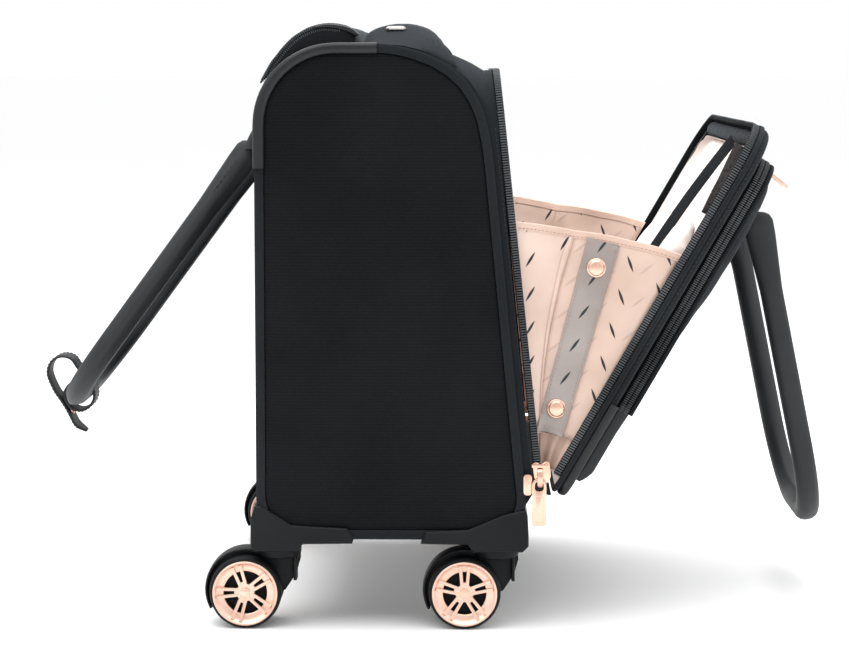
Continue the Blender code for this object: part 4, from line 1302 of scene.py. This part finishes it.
def build_tote_handle(name, body, pivot, down, normal, length, wide):
    """Leather carrying handle; its CAD node has the name of its body."""
    path = handle_path(length, HANDLE_Y, 62.0)
    points = [(pivot[0] + d * down[0], y, pivot[1] + d * down[1]) for d, y in path]
    shape = tube(points, normal, lambda f: strap_section(f, wide))
    handle = mesh_piece(name, *shape, LEATHER, 60.0)
    on(handle, body, "handle_leather", body)
    n = Vector(normal).normalized()
    t = tangents(points)
    rows = []
    for side in (-1.0, 1.0):
        line = []
        for i in range(8, len(points) - 8):
            inward = Vector(t[i]).cross(n).normalized() * -8.4
            line.append(tuple(Vector(points[i]) + inward + n * (side * 3.3)))
        rows.append(stitches(line, 3.0, 1.6, 0.34))
    on(mesh_piece(name + "_stitching", *merged(rows), THREAD), body, "handle_leather")


def build_handles():
    a = math.radians(BACK_SWING)
    down = (-math.sin(a), -math.cos(a))
    normal = (-math.cos(a), 0.0, math.sin(a))
    build_tote_handle("back_tote_handle", "back_handle", BACK_PIVOT, down, normal, BACK_HANDLE_L, 10.5)
    pivot = lid_at(LID_HANDLE_S, LID_HANDLE_T)
    b = math.radians(LID_SWING)
    down = (math.sin(b), -math.cos(b))
    normal = (math.cos(b), 0.0, math.sin(b))
    build_tote_handle("lid_tote_handle", "lid_handle", (pivot[0], pivot[2]), down, normal, LID_HANDLE_L, 11.5)
    for name, sign in sides():
        y = sign * HANDLE_Y
        rings = []
        for k in range(17):
            f = k / 16
            x = BACK_X - 1.2 - 9.5 * math.sin(math.pi / 2 * f) ** 1.6
            z = 386.0 - 30.0 * f
            thick = 1.4 + 4.6 * f
            rings.append([(x - b, y + a, z) for a, b in rounded(-11.5 + f, 11.5 - f, -thick, thick, 16, 0.6)])
        on(mesh_piece("back_handle_tab_" + name, *loft(rings), LEATHER, 60.0), "case", "handle_leather")
        rings = []
        for k in range(17):
            f = k / 16
            s = 283.0 - 31.0 * f
            t = 33.6 + 3.0 * f + 9.5 * max(0.0, f - 0.35) ** 1.4
            section = rounded(-11.0 + f, 11.0 - f, -1.4 - 2.0 * f, 1.4 + 2.0 * f, 14, 0.5)
            rings.append([lid_at(s, t + b, y + a) for a, b in section])
        tab = mesh_piece("lid_handle_tab_" + name, *loft(rings), LEATHER, 60.0)
        on(tab, "lid", "handle_leather", "lid_handle_anchor_" + name)


def build_snap_tab():
    """Leather strap wrapped round the back handle's grip, with an open loop above and a tail below."""
    pivot = joint_place("snap_tab_turn")
    gx = pivot[0] / MM - SHIFT_X
    gz = pivot[2] / MM
    strap = [(5.0, -31.2), (-3.0, -25.5), (-11.3, -10.0), (-20.3, 4.0), (-25.1, 17.0), (-22.0, 26.8)]
    strap += [(-14.5, 30.9), (-6.4, 29.2), (-1.5, 22.7), (4.0, 15.0), (9.3, 8.4), (12.4, -0.9)]
    strap += [(9.1, -9.2), (1.8, -13.3), (-5.6, -11.6), (-10.2, -6.0), (-12.0, 1.0), (-9.0, 7.0)]
    path = spline([(gx + x, gz + z) for x, z in strap], 1.6)
    t = tangents(path)
    rings = []
    for i, ((x, z), (tx, tz)) in enumerate(zip(path, t)):
        wide = 11.0 * math.sqrt(min(1.0, 0.15 + i * 0.16))
        rings.append([(x + tz * u, v, z - tx * u) for u, v in rounded(-1.1, 1.1, -wide, wide, 16, 0.35)])
    tab = mesh_piece("snap_tab_strap", *loft(rings), LEATHER, 60.0)
    on(tab, "snap_tab", "handle_leather", "snap_tab")
    rows = []
    for edge in (-9.6, 9.6):
        line = [(x - tz * 1.15, edge, z + tx * 1.15) for (x, z), (tx, tz) in list(zip(path, t))[3:-8]]
        rows.append(stitches(line, 1.9, 1.2, 0.26))
    on(mesh_piece("snap_tab_stitching", *merged(rows), THREAD), "snap_tab", "handle_leather")
    snaps = []
    for x, z in ((-12.6, -7.4), (-8.4, -14.6)):
        snaps.append(dome((gx + x - 0.9, 0.0, gz + z - 0.4), (-0.88, 0.0, -0.47), 4.6, 2.4, 5, 20))
        snaps.append(dome((gx + x + 0.9, 0.0, gz + z + 0.4), (0.88, 0.0, 0.47), 3.4, 1.8, 5, 20))
    on(mesh_piece("snap_tab_studs", *merged(snaps), ROSE), "snap_tab", "rose_metal")


# ---------------------------------------------------------------- zip hardware
def build_main_slider(name, sign):
    y0 = sign * (HALF_W + 1.2)
    y1 = sign * (HALF_W + 3.6)
    outline = [(5.0, -4.2), (4.0, 0.0), (5.0, 4.2), (9.0, 6.0), (14.0, 6.3), (20.0, 6.0)]
    outline += [(20.6, 3.6), (19.0, 0.8), (19.0, -0.8), (20.6, -3.6), (20.0, -6.0), (14.0, -6.3), (9.0, -6.0)]
    smooth = even([mouth_at(s, t)[::2] for s, t in outline], 0.8, True)
    c = np.mean(smooth, axis=0)
    rings = []
    for y, k in ((y0, 0.9), (y0 + sign * 0.4, 1.0), (y1 - sign * 0.5, 1.0), (y1, 0.88)):
        rings.append([(c[0] + (x - c[0]) * k, y, c[1] + (z - c[1]) * k) for x, z in smooth])
    plate = loft(rings)
    cx, _, cz = mouth_at(7.6, -2.7)
    bow = []
    for k in range(17):
        a = math.pi * k / 16
        bow.append((cx + 0.6, y1 + sign * (3.6 * math.sin(a) - 0.3), cz + 1.5 + 6.5 * math.cos(a)))
    bridge = tube(bow, (1, 0, 0), lambda f: rounded(-1.0, 1.0, -2.2, 2.2, 10, 0.7))
    bar = [(cx - 5.5 + k, y1 + sign * 1.2, cz + 10.5) for k in range(13)]
    head = tube(bar, (0, 0, 1), lambda f: rounded(-1.2, 1.2, -1.5, 1.5, 10, 0.8))
    slider = mesh_piece("slider_" + name, *merged([plate, bridge, head]), ROSE, 35.0)
    on(slider, "zip_slider_" + name, "rose_metal", "zip_slider_" + name)
    px, _, pz = joint_place("zip_pull_" + name + "_swing")
    px = px / MM - SHIFT_X
    pz = pz / MM
    yc = sign * 172.9
    outer = plate_outline(5.3, -34.5, 0.9, 4.4, 2.6, 10)
    inner = plate_outline(3.3, -8.5, -1.2, 2.6, 2.6, 10)
    rings = []
    for path, u in ((outer, 0.55), (outer, 0.9)):
        scale = 0.93 if u > 0.8 else 1.0
        rings.append([(px + v * scale, yc + sign * u, pz - 16.8 + (w + 16.8) * scale) for v, w in path])
    back = [[(px + v, yc - sign * 0.9, pz + w) for v, w in outer]]
    tab = mesh_piece("pull_" + name, *loft(back + rings), ROSE, 35.0)
    cut_out(tab, [[(px + v, yc + y, pz + w) for v, w in inner] for y in (-4.0, 4.0)])
    modifier(tab, "BEVEL", width=0.0003, segments=2, limit_method="ANGLE", angle_limit=0.6)
    on(tab, "zip_pull_" + name, "rose_metal", "zip_pull_" + name)
    frame_line = [(px + v, yc + sign * 0.95, pz + w) for v, w in plate_outline(3.4, -32.0, -12.0, 2.0, 1.6, 10)]
    border = tube(frame_line + frame_line[:1], (0, 1, 0), lambda f: rounded(-0.35, 0.35, -0.25, 0.35, 8, 1.0))
    on(mesh_piece("pull_border_" + name, *border, ROSE), "zip_pull_" + name, "rose_metal")
    rings = []
    for y, k in ((yc - sign * 2.6, 1.0), (yc - sign * 1.3, 1.0), (yc - sign * 1.1, 0.9)):
        rings.append([(78.6 + v * k, y, 111.0 + w * k) for v, w in plate_outline(3.1, -8.0, 7.5, 2.4, 2.4, 8)])
    on(mesh_piece("slider_thumb_" + name, *loft(rings), ROSE, 35.0), "zip_slider_" + name, "rose_metal")


def build_pocket_sliders():
    for name, sign in sides():
        y = sign * 12.0
        rings = []
        for v, k in ((-4.6, 0.8), (-3.6, 1.0), (3.6, 1.0), (4.6, 0.8)):
            section = rounded(-1.4, 1.4, -5.0, 5.0, 12, 0.5)
            rings.append([lid_at(291.2 + a * k, 22.0 + b * k, y + v) for a, b in section])
        slider = mesh_piece("pocket_slider_body_" + name, *loft(rings), ROSE, 35.0)
        on(slider, "pocket_slider_" + name, "rose_metal", "pocket_slider_" + name)
        s0, t0 = 291.0, 28.2
        along = np.linspace(0.0, 1.0, 21)
        rings = []
        for f in along:
            half = (1.4 + 2.6 * min(1.0, f * 4.0)) * math.sqrt(max(0.1, 1.0 - max(0.0, f - 0.9) * 9.0))
            section = rounded(-half, half, -1.0, 1.0, 12, 0.4)
            rings.append([lid_at(s0 + 1.0 - 6.0 * f + b, t0 + 38.0 * f, y + a) for a, b in section])
        pull = mesh_piece("pocket_pull_tab_" + name, *loft(rings), ROSE, 35.0)
        on(pull, "pocket_pull_" + name, "rose_metal", "pocket_pull_" + name)


# ---------------------------------------------------------------- casters
def rim_shape(axle_x, y, turn, first_angle):
    """Five twin-bar spokes, dished between a hub and an outer ring."""

    def dish(r):
        return 15.8 + 3.9 * (r / 22.0) ** 1.6

    ring = [(24.4, 19.0), (24.3, 20.9), (23.6, 21.3), (22.9, 21.0), (22.2, 20.2), (20.6, 18.9), (18.6, 18.1)]
    ring += [(17.0, 17.9), (16.3, 17.3), (16.2, 14.6), (23.5, 15.5)]
    hub = [(0.01, 19.5), (2.6, 19.4), (3.3, 18.9), (3.5, 17.2), (4.2, 17.0), (5.2, 17.5), (6.6, 17.2), (7.1, 16.2)]
    hub += [(7.1, 14.2), (0.01, 14.2)]
    parts = [lathe([(r, y + turn * v) for r, v in ring], axle_x, WHEEL_R, 72)]
    parts.append(lathe([(r, y + turn * v) for r, v in hub], axle_x, WHEEL_R, 40))
    for k in range(5):
        w = math.radians(first_angle + 72.0 * k)
        for side in (-1.0, 1.0):
            path = []
            for r in np.linspace(4.2, 21.6, 15):
                apart = side * (1.9 + 1.3 * (r - 4.2) / 17.4)
                x = axle_x + r * math.cos(w) - apart * math.sin(w)
                z = WHEEL_R + r * math.sin(w) + apart * math.cos(w)
                path.append((x, y + turn * dish(r), z))
            normal = (math.sin(w), 0.0, -math.cos(w))
            parts.append(tube(path, normal, lambda f: rounded(-1.6, 1.0, -1.35, 1.35, 10, 0.7)))
        foot = []
        for r in np.linspace(5.0, 8.4, 4):
            foot.append((axle_x + r * math.cos(w), y + turn * (dish(r) - 0.2), WHEEL_R + r * math.sin(w)))
        parts.append(tube(foot, normal, lambda f: rounded(-1.3, 0.9, -1.6, 1.6, 8, 0.6)))
    return merged(parts)


def build_caster(where, name, x, sign):
    corner = where + "_" + name
    y = sign * SWIVEL_Y
    axle_x = x - TRAIL
    first = {("rear", -1.0): 180.0, ("front", -1.0): 90.0}.get((where, sign), 54.0)
    for side, out in (("outer", 1.0), ("inner", -1.0)):
        turn = out * sign
        body = corner + "_wheel_" + side
        profile = [(3.2, 5.2), (23.0, 5.2), (25.6, 5.6), (26.7, 6.8), (27.0, 9.0), (27.0, 16.0), (26.7, 18.4)]
        profile += [(25.8, 19.8), (24.5, 20.3), (23.4, 20.2), (22.4, 18.0), (20.0, 11.0), (3.2, 10.6)]
        tyre = lathe([(r, y + turn * v) for r, v in profile], axle_x, WHEEL_R, 72)
        on(mesh_piece(body + "_tyre", *tyre, TYRE, 50.0), body, "wheel_plastic", body)
        rim = rim_shape(axle_x, y, turn, first)
        on(mesh_piece(body + "_rim", *rim, RIM, 45.0), body, "rose_metal")
    web = arc(axle_x, WHEEL_R, 31.6, 205, 62, 20)
    web += [(x + 9.0, 60.1), (x + 15.0, 60.1), (x + 16.5, 50.0), (x + 13.0, 38.0), (x + 5.0, 26.0)]
    web += [(axle_x + 12.0, 18.0), (axle_x, 14.5), (axle_x - 12.0, 15.5)]
    web = even(web, 2.0, True)[::-1]
    rings = []
    centre = np.mean(web, axis=0)
    for v, k in ((-4.3, 0.97), (-3.6, 1.0), (3.6, 1.0), (4.3, 0.97)):
        rings.append([(centre[0] + (a - centre[0]) * k, y + v, centre[1] + (b - centre[1]) * k) for a, b in web])
    arch = even(arc(axle_x, WHEEL_R, 30.4, 208, 66, 40), 2.0)
    flange = []
    t = tangents(arch)
    for (a, b), (ta, tb) in zip(arch, t):
        flange.append([(a + tb * u, y + v, b - ta * u) for u, v in rounded(-1.1, 1.1, -9.0, 9.0, 12, 0.45)])
    crown = []
    for r, z in ((14.0, 51.5), (16.4, 53.0), (17.0, 55.5), (17.0, 59.6), (16.4, 60.1)):
        crown.append([(x + r * math.cos(w), y + r * math.sin(w), z) for w in turns(40)])
    rib = [(x + 12.5, y, 34.0 + 3.0 * k) for k in range(8)]
    rib = tube(rib, (1, 0, 0), lambda f: rounded(-8.0, 8.0, -1.4, 1.4, 10, 0.6))
    fork = mesh_piece(corner + "_fork_body", *merged([loft(rings), loft(flange), loft(crown), rib]), GUARD, 40.0)
    on(fork, corner + "_caster", "guard_plastic", corner + "_fork")


def soften(node, mat, width, segments=2):
    """Rounds a hard CAD part's edges and gives it its material."""
    obj = frame["nodes"][node]
    obj.data.materials.clear()
    obj.data.materials.append(mat)
    modifier(obj, "WELD", merge_threshold=0.00001)
    modifier(obj, "BEVEL", width=width * MM, segments=segments, limit_method="ANGLE", angle_limit=math.radians(32))
    modifier(obj, "WEIGHTED_NORMAL", keep_sharp=True)


def build_hard_parts():
    for where in ("rear", "front"):
        for name, _ in sides():
            soften(where + "_" + name + "_guard", GUARD, 1.4, 3)
            soften(where + "_" + name + "_axle", STEEL, 0.4)
    soften("trolley_housing", GUARD, 0.8)
    soften("trolley_grip", GUARD, 1.2, 3)
    soften("trolley_button", GUARD, 1.0, 3)
    for name, _ in sides():
        soften("trolley_mid_tube_" + name, ALLOY, 0.3)
        soften("trolley_inner_tube_" + name, ALLOY, 0.6)


def build_piping_seams():
    """Stitch rows beside the mouth, on the shell's front band and the lid's rim."""
    for name, sign in sides():
        line = [mouth_at(s, -8.2, sign * (HALF_W + 0.25)) for s in np.linspace(22.0, 268.0, 50)]
        rows = [stitches(line, 2.6, 1.3, 0.26)]
        on(mesh_piece("mouth_stitching_" + name, *merged(rows), THREAD), "case", "body_fabric")
    path = u_path(HALF_W + 0.15, 30.0, MOUTH_TOP + 0.15, MOUTH_R)
    line = [lid_at(s, 12.0, y) for y, s in path]
    on(mesh_piece("lid_stitching", *stitches(line, 2.6, 1.3, 0.26), THREAD), "lid", "body_fabric")


# ---------------------------------------------------------------- stage
def add_light(name, place, aim, size, power):
    data = bpy.data.lights.new(name, "AREA")
    data.shape = "RECTANGLE"
    data.size, data.size_y = size
    data.energy = power
    light = bpy.data.objects.new(name, data)
    light.location = place
    light.rotation_mode = "QUATERNION"
    light.visible_camera = False
    light.rotation_quaternion = (Vector(aim) - Vector(place)).to_track_quat("-Z", "Y")
    bpy.context.scene.collection.objects.link(light)


def build_stage():
    scene = bpy.context.scene
    data = bpy.data.cameras.new("camera")
    data.lens = CAMERA_LENS
    data.sensor_width = 36.0
    data.shift_y = CAMERA_SHIFT
    camera = bpy.data.objects.new("camera", data)
    pitch = math.radians(CAMERA_PITCH)
    yaw = math.radians(CAMERA_YAW)
    camera.location = CAMERA_AT
    aim = Vector((-math.sin(yaw) * math.cos(pitch), math.cos(yaw) * math.cos(pitch), -math.sin(pitch)))
    camera.rotation_mode = "QUATERNION"
    camera.rotation_quaternion = aim.to_track_quat("-Z", "Y")
    scene.collection.objects.link(camera)
    scene.camera = camera
    world_data = bpy.data.worlds.new("studio")
    world_data.use_nodes = True
    background = world_data.node_tree.nodes["Background"]
    background.inputs["Color"].default_value = (1.0, 1.0, 1.0, 1.0)
    background.inputs["Strength"].default_value = 1.0
    scene.world = world_data
    middle = (0.0, 0.0, 0.22)
    add_light("overhead", (-0.1, 0.0, 2.0), middle, (3.2, 2.4), 62.0)
    add_light("key", (-1.5, -1.0, 1.6), middle, (1.6, 1.4), 9.0)
    add_light("fill", (1.7, -0.9, 1.3), middle, (1.6, 1.6), 6.0)
    add_light("gusset", (0.085, -0.02, 0.53), (0.055, 0.17, 0.33), (0.16, 0.1), 1.15)
    bm = bmesh.new()
    bmesh.ops.create_circle(bm, cap_ends=True, radius=60.0, segments=96)
    mesh = bpy.data.meshes.new("floor")
    bm.to_mesh(mesh)
    bm.free()
    floor = bpy.data.objects.new("floor", mesh)
    g = Graph("floor", 0.6)
    g.colour(g.mix(g.noise(2.0), (0.985, 0.985, 0.985), (0.995, 0.995, 0.995)))
    floor.data.materials.append(g.mat)
    scene.collection.objects.link(floor)
    scene.view_settings.view_transform = "Standard"


# ---------------------------------------------------------------- build
build_stage()
build_case_body()
build_case_lining()
for side_name, side_sign in sides():
    build_side(side_name, side_sign)
    build_gusset(side_name, side_sign)
    build_pocket_end_zip(side_name, side_sign)
    build_main_slider(side_name, side_sign)
    for corner_row, swivel_x in (("rear", REAR_SWIVEL_X), ("front", FRONT_SWIVEL_X)):
        build_caster(corner_row, side_name, swivel_x, side_sign)
build_mouth_zip()
build_hinge_cloth()
build_lid_body()
build_lid_inside()
build_lid_pouches()
build_front_pocket()
build_badge()
build_back_pocket()
build_grab_handle()
build_handles()
build_snap_tab()
build_pocket_sliders()
build_piping_seams()
build_hard_parts()
